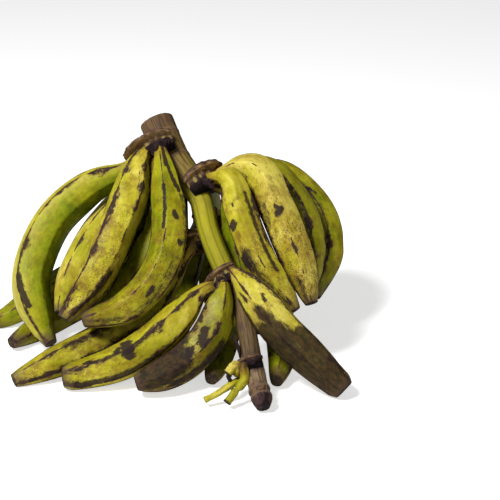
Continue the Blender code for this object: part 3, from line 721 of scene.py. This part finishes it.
class Finger:
    """One finger's middle line, from inside its crown to its tip."""

    def __init__(self, name, row):
        self.name = name
        self.hand = "hand_" + name.split("_")[1]
        self.tip = row["tip"]
        self.neck = row.get("neck", 1.0)
        self.turn = row["turn"]
        self.girth = row["girth"]
        self.rests = row.get("rests", False)
        crown = CROWNS[self.hand]
        reach, _ = crown_size(crown, stalk.angle_of(crown["reach"][1], row["line"][0]))
        reach -= NECK_DROP if row.get("under") else 0
        root = stalk.place(reach, stalk.angle_of(reach, row["line"][0]), NECK_START)
        self.share = np.linspace(0, 1, SETTLE_STATIONS)
        self.follow(curve_through([root] + row["line"], SETTLE_STATIONS)[0])

    def follow(self, line):
        self.line, self.length = evenly_spaced(line, SETTLE_STATIONS)
        self.radii = self.girth / 2 * finger_swell(self.share, self.tip, self.neck)


def press_apart(gaps, least):
    """How far each pair has to move so that its two places are at least that far apart."""
    dist = np.linalg.norm(gaps, axis=1) + 1e-9
    return gaps / dist[:, None] * np.clip(least - dist, 0, None)[:, None]


def obstacles():
    """Balls that stand for the stalk and the crowns while the fingers settle."""
    centres, radii, hands = [], [], []
    for reach in np.arange(0, stalk.length, STALK_POST_SPACING):
        centre, _, _, _, radius = stalk.frame(reach)
        centres.append(centre)
        radii.append(radius * (1 + STALK_RIB) + 1)
        hands.append("stalk")
    for name, crown in CROWNS.items():
        for angle in np.arange(crown["start"] + 8, crown["end"] - 7, 9):
            reach, thick = crown_size(crown, angle)
            for lift, depth in CROWN_POSTS:
                centres.append(stalk.place(reach + lift * crown["tall"], angle, thick * depth))
                radii.append(thick * CROWN_POST_SIZE + 1)
                hands.append(name)
    return np.array(centres), np.array(radii), np.array(hands)


def settle(fingers):
    """Fingers that would run into each other, the stalk or the table move apart until they fit.

    Each line keeps its neck where it grows, and its moves are smoothed along its length.
    """
    start = np.stack([finger.line for finger in fingers])
    shape = start.shape
    radii = np.stack([finger.radii for finger in fingers]).ravel()
    bulk = radii * RIDGE_RISE + FINGER_GAP / 2
    share = np.tile(fingers[0].share, shape[0])
    owner = np.repeat(np.arange(shape[0]), SETTLE_STATIONS)
    hand = np.array([finger.hand for finger in fingers])[owner]
    free = np.clip((share - 0.02) / 0.12, 0.08, 1)[:, None]
    posts, post_radii, post_hands = obstacles()
    grown = share > OFF_FINGERS
    apart = (owner[:, None] < owner[None, :]) & grown[:, None] & grown[None, :]
    clear_of_post = (hand[:, None] != post_hands[None, :]) | (share[:, None] > OFF_CROWN)
    clear_of_post &= (post_hands[None, :] != "stalk") | (share[:, None] > OFF_STALK)
    points = start.reshape(-1, 3).copy()
    for turn in range(SETTLE_ROUNDS):
        if turn % SEARCH_EVERY == 0:
            near = np.linalg.norm(points[:, None] - points[None, :], axis=2)
            reached = bulk[:, None] + bulk[None, :] + SEARCH_MARGIN
            one, two = np.nonzero(apart & (near < reached))
            near = np.linalg.norm(points[:, None] - posts[None, :], axis=2)
            reached = bulk[:, None] + post_radii[None, :] + SEARCH_MARGIN
            mine, post = np.nonzero(clear_of_post & (near < reached))
        push = np.zeros_like(points)
        shove = press_apart(points[one] - points[two], bulk[one] + bulk[two]) * 0.5
        np.add.at(push, one, shove)
        np.add.at(push, two, -shove)
        shove = press_apart(points[mine] - posts[post], bulk[mine] + post_radii[post])
        np.add.at(push, mine, shove)
        points = points + push * free * SETTLE_STEP
        moved = (points - start.reshape(-1, 3)).reshape(shape)
        for _ in range(2 if turn < SETTLE_ROUNDS - GENTLE_ROUNDS else 1):
            moved[:, 1:-1] = moved[:, 1:-1] * 0.5 + (moved[:, 2:] + moved[:, :-2]) * 0.25
        points = (start + moved).reshape(-1, 3)
        points[:, 2] = np.maximum(points[:, 2], np.where(share > OFF_TABLE, radii, 0))
    for finger, line in zip(fingers, points.reshape(shape)):
        finger.follow(line)
        if finger.rests:
            lift = np.min((finger.line[:, 2] - finger.radii)[finger.share > 0.3])
            finger.line[:, 2] -= (lift + REST_SINK) * np.clip(finger.share / 0.4, 0, 1) ** 1.5


def line_frames(line):
    """The outer side and the cross side along a line, from the plane that it bends in."""
    ahead = np.gradient(line, axis=0)
    along = ahead / np.linalg.norm(ahead, axis=1)[:, None]
    chord = line[-1] - line[0]
    bow = line[len(line) // 2] - (line[0] + line[-1]) / 2
    across = unit(np.cross(chord, bow))
    outer = np.cross(across, along)
    outer /= np.linalg.norm(outer, axis=1)[:, None]
    if np.mean(outer @ bow) < 0:
        outer = -outer
    return outer, np.cross(along, outer)


def make_torn_edge_group():
    """Ragged bruises: a stored field that is above 0 inside a bruise, with its edge torn up."""
    group, given, wanted = start_group("torn edges", {"Place": None, "Field": 0.0,
                                                      "Raggedness": 0.5, "Softness": 0.2},
                                       ("Mask",))
    torn = speckle(group, given["Place"], scale=0.24, detail=6.0, rough=0.76, stretch=(1, 1, 0.5))
    torn = calc(group, "SUBTRACT", torn, 0.5)
    field = calc(group, "MULTIPLY_ADD", torn, given["Raggedness"], given["Field"])
    level = calc(group, "DIVIDE", field, given["Softness"])
    group.links.new(ramp_between(group, level, 0.0, 1.0), wanted["Mask"])
    return group


TORN_EDGES = make_torn_edge_group()
PEEL_SPECULAR = 0.16
WAXY_ROUGHNESS = 0.42
BRUISE_ROUGHNESS = 0.30
PEEL_RELIEF = dict(streak=0.35, mottle=0.5, bruise=-0.4)
TONE_SWING = dict(broad=0.9, streak=0.22, mottle=0.60)
# The peel's colours from green to yellow.
PEEL_COLOURS = [
    (0.00, (0.090, 0.130, 0.002)),
    (0.25, (0.235, 0.275, 0.005)),
    (0.50, (0.400, 0.385, 0.012)),
    (0.75, (0.575, 0.510, 0.036)),
    (1.00, (0.790, 0.680, 0.115)),
]
# The noises over the peel: scale, detail, roughness, and scale along the finger.
PEEL_NOISES = {
    "broad": (0.032, 3.0, 0.55, 1),
    "streak": (0.5, 3.0, 0.6, 0.05),
    "mottle": (0.20, 4.0, 0.62, 0.6),
    "rust": (0.085, 5.0, 0.7, 1),
    "grime": (0.045, 6.0, 0.72, 0.7),
    "crowding": (0.05, 2.0, 0.5, 1),
    "specks": (0.75, 3.0, 0.55, 0.75),
}
# The stretches of a finger with a colour of their own: the noise that wavers their edge and how
# much, and the shares of the length at which the colour starts and is full.
PEEL_STRETCHES = {
    "neck": ("mottle", 0.12, 0.24, 0.10),
    "root": ("mottle", 0.10, 0.135, 0.075),
    "worn tip": ("mottle", 0.10, 0.985, 1.045),
    "stub": ("streak", 0.02, 1.004, 1.012),
}
# The spots: how much freckles add to them, and the noise at which a spot starts and is full.
PEEL_SPOTS = {
    "rust": (0.10, 0.56, 0.72),
    "grime": (0.14, 0.46, 0.74),
    "specks": (0.16, 0.86, 0.94),
}
CROWDED_SPECKS = 0.30
# The bruises: the stored field that they follow, how far they reach past its edge, and how ragged
# and how soft their own edge is.
PEEL_BRUISES = {
    "halo": ("hurt", 0.45, 3.6, 1.3),
    "scuff": ("scuff", -0.12, 3.4, 0.5),
    "scuff core": ("scuff", -0.42, 3.6, 0.35),
    "stain_and_shadow": ("stain_and_shadow", 0.0, 3.0, 0.9),
    "mark": ("mark", 0.0, 3.6, 0.45),
}
# All of these as layers, from the lowest to the highest: how well each covers, and its colour.
# Grime darkens what lies under it and the others hide it.
PEEL_LAYERS = {
    "neck": (0.60, (0.40, 0.22, 0.035)),
    "root": (0.80, (0.085, 0.043, 0.026)),
    "rust": (0.60, (0.25, 0.13, 0.030)),
    "grime": (0.75, (0.54, 0.40, 0.34)),
    "specks": (0.85, (0.075, 0.038, 0.018)),
    "halo": (0.42, (0.26, 0.16, 0.022)),
    "scuff": (0.80, (0.130, 0.068, 0.030)),
    "scuff core": (0.92, (0.030, 0.017, 0.015)),
    # Stains, which on finger_3_2 are partly painted shadow.
    "stain_and_shadow": (0.94, (0.062, 0.032, 0.013)),
    "mark": (0.93, (0.024, 0.014, 0.014)),
    "worn tip": (0.75, (0.110, 0.065, 0.038)),
    "stub": (1.0, (0.040, 0.024, 0.020)),
}
STAIN_AND_SHADOW_DARK = (0.012, 0.007, 0.008)


def make_peel_surface():
    made, tree, shader = new_surface("plantain_peel", WAXY_ROUGHNESS, PEEL_SPECULAR)
    place = stored(tree, "skin_place", "Vector")
    along = stored(tree, "along")
    freckles = stored(tree, "freckles")
    noises = {name: speckle(tree, place, scale, detail, rough, (1, 1, lengthwise))
              for name, (scale, detail, rough, lengthwise) in PEEL_NOISES.items()}
    mottle = noises["mottle"]
    tone = calc(tree, "SUBTRACT", stored(tree, "tone"), TONE_SWING["broad"] / 2)
    tone = calc(tree, "MULTIPLY_ADD", noises["broad"], TONE_SWING["broad"], tone)
    for name in ("streak", "mottle"):
        swing = calc(tree, "SUBTRACT", noises[name], 0.5)
        tone = calc(tree, "MULTIPLY_ADD", swing, TONE_SWING[name], tone)
    colour = colour_steps(tree, tone, PEEL_COLOURS)

    masks = {}
    for layer, (name, waver, low, high) in PEEL_STRETCHES.items():
        edge = calc(tree, "MULTIPLY_ADD", noises[name], waver, along)
        masks[layer] = ramp_between(tree, edge, low, high)
    noises["specks"] = calc(tree, "MULTIPLY_ADD", noises["crowding"], CROWDED_SPECKS,
                            noises["specks"])
    for layer, (more, low, high) in PEEL_SPOTS.items():
        spots = calc(tree, "MULTIPLY_ADD", freckles, more, noises[layer])
        masks[layer] = ramp_between(tree, spots, low, high)
    fields = {name: stored(tree, name) for name in ("scuff", "mark", "stain_and_shadow")}
    fields["hurt"] = calc(tree, "MAXIMUM", fields["scuff"], fields["mark"])
    for layer, (name, reach, ragged, soft) in PEEL_BRUISES.items():
        field = calc(tree, "ADD", fields[name], reach)
        masks[layer] = use_group(tree, TORN_EDGES, Place=place, Field=field, Raggedness=ragged,
                                 Softness=soft)["Mask"]

    for layer, (cover, paint) in PEEL_LAYERS.items():
        if layer == "stain_and_shadow":
            paint = blend_colours(tree, ramp_between(tree, mottle, 0.35, 0.7), STAIN_AND_SHADOW_DARK, paint)
        colour = blend_colours(tree, calc(tree, "MULTIPLY", masks[layer], cover), colour, paint,
                               "MULTIPLY" if layer == "grime" else "MIX")
    tree.links.new(colour, shader.inputs["Base Color"])

    dry = calc(tree, "MAXIMUM", calc(tree, "MAXIMUM", masks["scuff"], masks["stain_and_shadow"]),
               calc(tree, "MAXIMUM", masks["mark"], masks["stub"]))
    roughness = calc(tree, "MULTIPLY_ADD", dry, BRUISE_ROUGHNESS, WAXY_ROUGHNESS)
    tree.links.new(roughness, shader.inputs["Roughness"])
    relief = calc(tree, "MULTIPLY", dry, PEEL_RELIEF["bruise"])
    for name in ("streak", "mottle"):
        relief = calc(tree, "MULTIPLY_ADD", noises[name], PEEL_RELIEF[name], relief)
    roughen(tree, shader, relief, strength=0.45, depth=0.0009)
    return made


def stroke_field(spot, strokes, finger):
    """How deep a place on the peel lies in the strokes: 1 on a stroke's line, 0 at its edge.

    A stroke runs from one place to another, each a share of the length and an angle round it, and
    has half its width and its strength.
    """
    along, around = spot
    degree = finger.girth / 2 * math.pi / 180
    deepest = np.full(along.shape, -1.0)
    for (from_along, from_around), (to_along, to_around), half_width, strength in strokes:
        x = (along - from_along) * finger.length
        y = ((around - from_around + 180) % 360 - 180) * degree
        run = np.array([(to_along - from_along) * finger.length,
                        (to_around - from_around) * degree])
        reach = np.clip((x * run[0] + y * run[1]) / max(run @ run, 1e-9), 0, 1)
        gap = np.hypot(x - run[0] * reach, y - run[1] * reach)
        deepest = np.maximum(deepest, strength * (1 - gap / half_width))
    return deepest


# The strokes of near-black bruises, by finger.
FINGER_MARKS = {
    "finger_1_1": [((0.26, -36), (0.30, -30), 3.2, 1.1), ((0.73, -72), (0.84, -84), 5.6, 1.6)],
    "finger_1_3": [((0.215, -56), (0.235, -62), 3.6, 1.1), ((0.20, 13), (0.31, 7), 0.9, 0.7),
                   ((0.97, 60), (1.0, 110), 6, 1.4)],
    "finger_1_6": [((0.05, 60), (0.16, 60), 6.5, 2.0), ((0.15, 60), (0.27, 27), 4.2, 1.4),
                   ((0.24, 87), (0.46, 97), 3.0, 1.4), ((0.39, 62), (0.41, 54), 4.4, 1.3),
                   ((0.50, 36), (0.51, 28), 3.6, 1.0), ((0.70, 54), (0.73, 48), 3.6, 1.0),
                   ((0.80, 6), (0.82, 0), 3.6, 1.0)],
    "finger_2_2": [((0.455, 70), (0.465, 76), 6.4, 1.8), ((0.35, 49), (0.36, 45), 2.6, 0.8),
                   ((0.64, 86), (0.69, 76), 6.5, 1.3)],
    "finger_2_3": [((0.525, 64), (0.54, 84), 5.2, 1.3), ((0.50, 78), (0.53, 72), 3.4, 0.9)],
    "finger_3_1": [((0.61, 136), (0.62, 92), 9, 1.5), ((0.66, 128), (0.68, 120), 6, 1.0),
                   ((0.845, 116), (0.86, 124), 5.4, 1.5)],
    "finger_3_2": [((0.24, 146), (0.27, 140), 3.6, 1.1), ((0.34, 140), (0.37, 134), 4.4, 1.1),
                   ((0.42, 106), (0.50, 84), 7.5, 1.4), ((0.58, 100), (0.64, 80), 6.5, 1.2)],
    "finger_3_3": [((0.22, 30), (0.26, 24), 4, 0.9), ((0.30, -36), (0.33, -30), 3.4, 0.9)],
    "finger_2_5": [((0.52, 100), (0.55, 96), 3.4, 0.9)],
}
# The strokes of broad brown stains, by finger. On finger_3_2 they are partly painted shadow, where
# finger_3_1 lies over it.
FINGER_STAINS_AND_SHADOW = {
    "finger_1_1": [((0.18, -66), (0.24, -76), 7, 0.62)],
    "finger_1_3": [((0.72, -20), (0.94, -4), 9, 1.2), ((0.86, 60), (0.98, 90), 8, 1.0)],
    "finger_1_6": [((0.30, 20), (0.52, 10), 6.5, 0.7), ((0.60, 40), (0.80, 20), 11, 0.5),
                   ((0.86, 30), (1.0, 60), 10, 0.7)],
    "finger_2_2": [((0.62, 70), (0.84, 60), 12, 1.1), ((0.30, -15), (0.78, -12), 5, 1.2),
                   ((0.86, 60), (1.0, 30), 12, 0.7)],
    "finger_2_3": [((0.36, 140), (0.56, 150), 8, 1.3), ((0.46, 112), (0.58, 130), 8, 0.7),
                   ((0.90, 100), (1.0, 100), 12, 1.0)],
    "finger_2_4": [((0.40, 100), (0.80, 96), 6, 0.8)],
    "finger_2_5": [((0.60, 112), (0.95, 112), 5, 0.7)],
    "finger_3_1": [((0.42, 34), (0.98, 44), 5.5, 1.6), ((0.48, 104), (0.62, 100), 5.0, 1.2),
                   ((0.65, 106), (0.84, 116), 4.5, 1.1), ((0.88, 30), (1.0, 50), 9, 1.0)],
    # These dark stains are partly painted shadow from finger_3_1 above.
    "finger_3_2": [((0.70, 110), (1.0, 70), 26, 3.0), ((0.56, 150), (0.92, 138), 12, 2.0),
                   ((0.44, 20), (0.80, 24), 9, 1.6)],
    "finger_3_3": [((0.50, 30), (0.97, 14), 24, 3.2), ((0.36, 6), (0.60, -30), 11, 1.6),
                   ((0.62, -50), (0.97, -40), 17, 3.0), ((0.24, 72), (0.96, 72), 8, 2.0)],
    "finger_4_3": [((0.45, 90), (0.98, 84), 7, 1.2), ((0.55, 150), (0.75, 160), 10, 1.0)],
}


def smooth_along(at, values, where):
    """A line of points, or of directions, at other shares of its length."""
    where = np.clip(where, 0, 1 - 1e-9)
    return np.stack([smooth_profile(at, values[:, k], where) for k in range(3)], axis=1)


def spread_round(outer, cross, turn):
    """Directions outward from a line: one row to a place on it, one column to a turn."""
    return outer[:, None] * np.cos(turn)[..., None] + cross[:, None] * np.sin(turn)[..., None]


def worn_ridges(finger, seed, share, scuffs):
    """How badly each ridge is scuffed at each share of the finger's length."""
    worn = np.array([[roughly((s * finger.length * 0.05, 9 * k, 3), 1.0, seed)
                      for k in range(RIDGES)] for s in share])
    return np.array(scuffs) + SCUFF_WANDER * worn


def make_finger(finger, seed, surface):
    """The fine finger: rings over its settled line, flat-faced between its five ridges."""
    share = np.linspace(0, 1, FINGER_RINGS)
    share = share - 0.018 * np.sin(2 * math.pi * share)
    line = smooth_along(finger.share, finger.line, share)
    outer, cross = (np.stack([np.interp(share, finger.share, side[:, k]) for k in range(3)], axis=1)
                    for side in line_frames(finger.line))
    radii = (finger.girth / 2 * finger_swell(share, finger.tip, finger.neck))[:, None]
    degrees = np.arange(FINGER_SIDES) * 360 / FINGER_SIDES
    around = finger.turn + degrees[None, :] + np.zeros((FINGER_RINGS, 1))
    turn = np.radians(around)
    along = share[:, None] + np.zeros_like(turn)
    lumps = np.array([[roughly((4 * s, math.cos(math.radians(d)), math.sin(math.radians(d))),
                               1.1, seed) for d in degrees] for s in share])
    off_face = (degrees[None, :] % FACE_ANGLE) - FACE_ANGLE / 2
    sharp = RIDGE_SOFTNESS * np.clip((1.04 - along) / 0.16, 0.35, 1)
    face = (np.cos(np.radians(FACE_ANGLE / 2)) / np.cos(np.radians(off_face))) ** sharp
    full = radii * RIDGE_RISE * face * (1 + LUMP_DEPTH * lumps)
    rings = line[:, None] + spread_round(outer, cross, turn) * full[..., None]

    looks = {**PLAIN_FINGER, **FINGER_TONES.get(finger.name, {})}
    ridge_number = np.round(degrees / FACE_ANGLE).astype(int) % RIDGES
    worn = worn_ridges(finger, seed, share, looks["scuffs"])[:, ridge_number]
    half_width = SCUFF_LEAST + SCUFF_MORE * np.clip(worn, 0, 1) ** 1.7
    from_ridge = (FACE_ANGLE / 2 - np.abs(off_face)) * radii * math.pi / 180
    scuff = np.where(worn > -0.08, 1 - from_ridge / half_width, -1.0)
    spot = (along, around)
    values = {
        "skin_place": np.stack([np.cos(turn) * radii, np.sin(turn) * radii,
                                along * finger.length + 400 * seed], axis=2),
        "along": along,
        "tone": looks["tone"] + looks["sunny"] * np.cos(turn) + 0.08 * lumps,
        "freckles": looks["freckles"] * np.clip(0.1 + 1.5 * along, 0, 1.15),
        "scuff": np.clip(scuff, -1, 1),
        "mark": stroke_field(spot, FINGER_MARKS.get(finger.name, []), finger),
        "stain_and_shadow": stroke_field(spot, FINGER_STAINS_AND_SHADOW.get(finger.name, []), finger),
    }
    stub = rings[-1]
    middle = stub.mean(axis=0)
    end_way = unit(line[-1] - line[-2])
    extra = [middle + (stub - middle) * shrink + end_way * step for shrink, step in STUB_RINGS]
    rings = np.concatenate([rings, extra])
    values = {key: np.concatenate([grid] + [grid[-1:]] * len(extra))
              for key, grid in values.items()}
    piece = tube_object("fruit_" + finger.name, rings, values, surface)
    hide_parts(finger.name)
    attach(piece, "root")


fingers = [Finger(name, row) for name, row in FINGERS.items()]
settle(fingers)
peel_surface = make_peel_surface()
for number, finger in enumerate(fingers):
    make_finger(finger, number + 1, peel_surface)

# Three fingers of the last crown never filled: slim stubs, each with its flower's scar at the end.
# They are grown together with the crown, and their peel is the same as the full fingers'.
STUNTED_SIDES = 40
STUNTED_RINGS = 60
# Each leaves the crown at an angle round the stalk and follows its line. The pinch is how slim it is
# behind its end, and the cap is the dark share of it there.
STUNTED = {
    "stunted_finger_1": dict(angle=-80, girth=12, tone=0.80, pinch=0.0, cap=0.06, freckles=0.7,
                             line=[(-33, 36, 38), (-42, 30, 31)]),
    "stunted_finger_2": dict(angle=-128, girth=8, tone=0.62, pinch=0.1, cap=0.0, freckles=0.2,
                             line=[(-38, 24, 20), (-53, 15, 14), (-67, 9, 9)]),
    "stunted_finger_3": dict(angle=-32, girth=10, tone=0.50, pinch=0.35, cap=0.03, freckles=0.6,
                             line=[(-22, 22, 29), (-32, 12, 19), (-42, 3, 9)]),
}


def make_stunted(name, row, seed, surface):
    """A slim stub that leaves its crown outward and then follows its line."""
    reach = STUNTED_CROWN["reach"][0]
    root = stalk.place(reach - 2, row["angle"], 1.5)
    leave = stalk.place(reach - 5, row["angle"], 7)
    line, length = curve_through([root, leave] + row["line"], STUNTED_RINGS)
    outer, cross = line_frames(line)
    share = np.linspace(0, 1, STUNTED_RINGS)[:, None]
    degrees = np.arange(STUNTED_SIDES)[None, :] * 360 / STUNTED_SIDES
    turn = np.radians(degrees)
    swell = 0.84 + 0.20 * np.sin(math.pi * np.minimum(1, share * 1.1))
    swell = swell + 0.12 * np.clip((share - 0.90) / 0.08, 0, 1)
    swell = swell * (1 - row["pinch"] * np.exp(-((share - 0.66) / 0.05) ** 2))
    lumps = np.array([[roughly((0.07 * s * length, math.cos(t), math.sin(t)), 1.2, seed)
                       for t in turn[0]] for s in share[:, 0]])
    radii = row["girth"] / 2 * swell * (1 + 0.06 * np.cos(4 * turn) + 0.09 * lumps)
    rings = line[:, None] + spread_round(outer, cross, turn) * radii[..., None]
    rings = np.concatenate([rings, (line[-1] + (rings[-1] - line[-1]) * 0.6)[None]])
    share = np.vstack([share, [[1.002]]]) + np.zeros((1, STUNTED_SIDES))
    values = {
        "skin_place": np.stack([np.cos(turn) * 6 + 0 * share, np.sin(turn) * 6 + 0 * share,
                                share * length + 300 * seed], axis=2),
        "along": 0.40 * share ** 0.8 - 0.05,
        "tone": row["tone"] + 0.2 * np.cos(turn) + 0 * share,
        "freckles": np.full(share.shape, row["freckles"]),
        "scuff": np.full(share.shape, -1.0),
        "mark": np.clip((share - 1 + row["cap"]) / 0.03, -1, 1),
        "stain_and_shadow": np.clip(0.9 - 7 * share, -1, 1),
    }
    piece = tube_object("slim_" + name, rings, values, surface)
    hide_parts(name)
    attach(piece, "root")


for number, (name, row) in enumerate(STUNTED.items()):
    make_stunted(name, row, number + 31, peel_surface)

# Dried flowers are left where the fingers' necks crowd together and on the last crown: crumpled,
# near-black lumps of dead petals that cling to the cushion. One hangs from a stunted finger.
FLOWER_SIDES = 48
FLOWER_RINGS = 60
# Each runs from one place to another and has a thickness. A place is a crown, how far it lies from
# the crown's middle towards the cut end, its angle round the stalk and how far it stands out.
FLOWERS = [
    (("hand_1", -8, -36, 15), ("hand_1", -12, 4, 17), 13),
    (("hand_1", -9, -17, 20), ("hand_1", -28, -13, 20), 8),
    (("hand_1", -5, -6, 19), ("hand_1", -12, 18, 15), 9),
    (("hand_1", -12, -32, 16), ("hand_1", -19, -22, 18), 7),
    (("hand_2", -5, 24, 18), ("hand_2", -21, 38, 20), 9),
    (("hand_3", -6, -38, 13), ("hand_3", -13, -4, 15), 12),
    (("hand_3", -7, 0, 14), ("hand_3", -15, 24, 12), 10),
    (("stunted", 1, -34, 7), ("stunted", -5, 12, 8), 8),
    (("stunted", -2, 10, 8), ("stunted", 5, 42, 6), 7),
]
HANGING_END = np.array([-35.0, 23.0, 13.0])
HANGING_GIRTH = 6
DRY_COLOURS = [
    (0.30, (0.008, 0.005, 0.006)),
    (0.55, (0.026, 0.015, 0.017)),
    (0.70, (0.085, 0.048, 0.036)),
    (0.85, (0.200, 0.130, 0.075)),
]


def make_dry_surface():
    made, tree, shader = new_surface("dried_flower", roughness=0.85, specular=0.08)
    place = stored(tree, "skin_place", "Vector")
    fibres = use_group(tree, FIBRES, Place=place, Fineness=2.2)
    tissue = calc(tree, "MULTIPLY", fibres["Blotches"], 0.5)
    tissue = calc(tree, "MULTIPLY_ADD", fibres["Streaks"], 0.6, tissue)
    tree.links.new(colour_steps(tree, tissue, DRY_COLOURS), shader.inputs["Base Color"])
    roughen(tree, shader, fibres["Streaks"], strength=0.8, depth=0.001)
    return made


def make_flower(name, start, end, girth, seed, surface):
    """A crumpled lump from one place to another, fullest in the middle."""
    line = start + (end - start) * np.linspace(0, 1, FLOWER_RINGS)[:, None]
    along = unit(end - start)
    side = unit(np.cross(along, (0.3, 0.2, 1.0)))
    other = np.cross(along, side)
    rings, places = [], []
    for step, centre in enumerate(line):
        share = step / (FLOWER_RINGS - 1)
        full = girth / 2 * (0.25 + 0.75 * math.sin(math.pi * share) ** 0.6)
        row, spots = [], []
        for k in range(FLOWER_SIDES):
            turn = 2 * math.pi * k / FLOWER_SIDES
            out = side * math.cos(turn) + other * math.sin(turn)
            spot = centre + out * full
            fold = abs(roughly(spot, 0.20, seed))
            curl = abs(roughly(spot, 0.55, seed + 3))
            row.append(centre + out * full * (1.25 - 1.1 * fold - 0.5 * curl))
            spots.append(spot)
        rings.append(row)
        places.append(spots)
    piece = tube_object(name, np.array(rings), {"skin_place": np.array(places)}, surface)
    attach(piece, "root")


def crown_spot(hand, lift, angle, out):
    crown = STUNTED_CROWN if hand == "stunted" else CROWNS[hand]
    reach, _ = crown_size(crown, angle)
    return stalk.place(reach + lift, angle, out)


dry_surface = make_dry_surface()
for number, (start, end, girth) in enumerate(FLOWERS):
    make_flower(f"dried_flower_{number + 1}", crown_spot(*start), crown_spot(*end), girth,
                number + 41, dry_surface)
hanging_start = np.array(STUNTED["stunted_finger_1"]["line"][-1], float)
make_flower("dried_flower_hanging", hanging_start, HANGING_END, HANGING_GIRTH, 61, dry_surface)

# The bract is a leaf-like scale that once covered a hand. It is dried as the flowers are, still
# holds on by its lower edge, and curls away from the stalk above the last crown.
BRACT = dict(low=72, high=98, angle=-88, width=15, thick=1.6, stand_off=5)
BRACT_RINGS = 60
BRACT_COLUMNS = 22
BRACT_FOOT = 0.6


def make_bract(surface):
    """A thin flap, wide in the middle, that stands off the stalk more and more towards its end."""
    rings, places = [], []
    across = np.linspace(-1, 1, BRACT_COLUMNS)
    for share in np.linspace(0, 1, BRACT_RINGS):
        reach = BRACT["low"] + share * (BRACT["high"] - BRACT["low"])
        half = BRACT["width"] / 2 * (0.35 + 0.65 * math.sin(math.pi * (0.15 + 0.75 * share)))
        row, spots = [], []
        for base, way in ((BRACT_FOOT + BRACT["thick"], across), (BRACT_FOOT, across[::-1])):
            for x in way:
                torn = 1 + 0.16 * roughly((share * 5, x, 2), 1.0, 51)
                curl = 0.9 * roughly((share * 2.2, x * 1.6, 7), 1.0, 52) * share
                depth = base + BRACT["stand_off"] * share ** 1.5 + curl
                radius = stalk.frame(reach)[4] + depth
                spread = math.degrees(half * torn * x / radius)
                lift = 0.8 * STALK_RIB * radius
                row.append(stalk.place(reach, BRACT["angle"] + spread, depth + lift))
                spots.append((half * x, base, reach))
        rings.append(row)
        places.append(spots)
    piece = tube_object("bract_flap", np.array(rings), {"skin_place": np.array(places)}, surface)
    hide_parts("bract")
    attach(piece, "root")


make_bract(dry_surface)

# The floor is a plain pale sheet of matt studio paper, far wider than the view. It lies just under
# the bunch, and glows a little towards the camera, which keeps it white.
PAPER_DARK = (0.88, 0.88, 0.885)
PAPER_LIGHT = (0.91, 0.91, 0.91)
PAPER_HALF = 6.0
PAPER_GLOW = 0.62
PAPER_DEPTH = 0.0002


def make_floor():
    mesh = bpy.data.meshes.new("studio_paper")
    corners = [(-1, -1), (1, -1), (1, 1), (-1, 1)]
    mesh.from_pydata([(x * PAPER_HALF, y * PAPER_HALF, 0) for x, y in corners], [], [(0, 1, 2, 3)])
    made, tree, shader = new_surface("studio_paper", roughness=0.9, specular=0.1)
    weave = speckle(tree, add_node(tree, "ShaderNodeTexCoord").outputs["Object"], scale=3.0)
    colour = blend_colours(tree, weave, PAPER_DARK, PAPER_LIGHT)
    tree.links.new(colour, shader.inputs["Base Color"])
    seen = add_node(tree, "ShaderNodeLightPath").outputs["Is Camera Ray"]
    glow = calc(tree, "MULTIPLY", seen, PAPER_GLOW)
    shader.inputs["Emission Color"].default_value = (1.0, 1.0, 1.0, 1)
    tree.links.new(glow, shader.inputs["Emission Strength"])
    mesh.materials.append(made)
    floor = bpy.data.objects.new("studio_paper", mesh)
    floor.location.z = -PAPER_DEPTH
    bpy.context.scene.collection.objects.link(floor)


make_floor()

# Light comes from a soft box high up at the front left, a broad weak one low at the front right,
# and an even white sky, as in a small studio tent.
LIT_SPOT = (0, 0, 0.1)
KEY_BOX = dict(place=(-0.90, -0.85, 1.95), side=0.6, watts=56)
FILL_BOX = dict(place=(1.4, -1.1, 0.9), side=1.2, watts=3)
SKY_LIGHT = 0.09
SKY_SEEN = 0.88


def add_soft_box(name, place, side, watts):
    light = bpy.data.lights.new(name, "AREA")
    light.size = side
    light.energy = watts
    box = bpy.data.objects.new(name, light)
    box.location = place
    box.rotation_euler = (Vector(LIT_SPOT) - Vector(place)).to_track_quat("-Z", "Y").to_euler()
    bpy.context.scene.collection.objects.link(box)


def make_sky():
    """A sky that is white to look at and lights the bunch more weakly, so its gaps stay dark."""
    world = bpy.data.worlds.new("studio_sky")
    bpy.context.scene.world = world
    world.use_nodes = True
    tree = world.node_tree
    seen = add_node(tree, "ShaderNodeLightPath").outputs["Is Camera Ray"]
    sky = tree.nodes["Background"]
    sky.inputs["Color"].default_value = (1.0, 1.0, 1.0, 1)
    tree.links.new(calc(tree, "MULTIPLY_ADD", seen, SKY_SEEN, SKY_LIGHT), sky.inputs["Strength"])


add_soft_box("key_box", **KEY_BOX)
add_soft_box("fill_box", **FILL_BOX)
make_sky()
bpy.context.scene.view_settings.view_transform = "Standard"

# The camera stands a little above the bunch, in front of the stalk's thin end, with a long lens
# that takes in the bunch at the photograph's size and angle. It is level from side to side.
CAMERA_PLACE = (0.109064, -1.456324, 0.710971)
CAMERA_TILT = 68
CAMERA_LENS = 92.88
SENSOR_WIDTH = 36
lens = bpy.data.cameras.new("studio_camera")
lens.lens = CAMERA_LENS
lens.sensor_width = SENSOR_WIDTH
camera = bpy.data.objects.new("studio_camera", lens)
camera.location = CAMERA_PLACE
camera.rotation_euler = (math.radians(CAMERA_TILT), 0, 0)
bpy.context.scene.collection.objects.link(camera)
bpy.context.scene.camera = camera

bpy.context.view_layer.update()
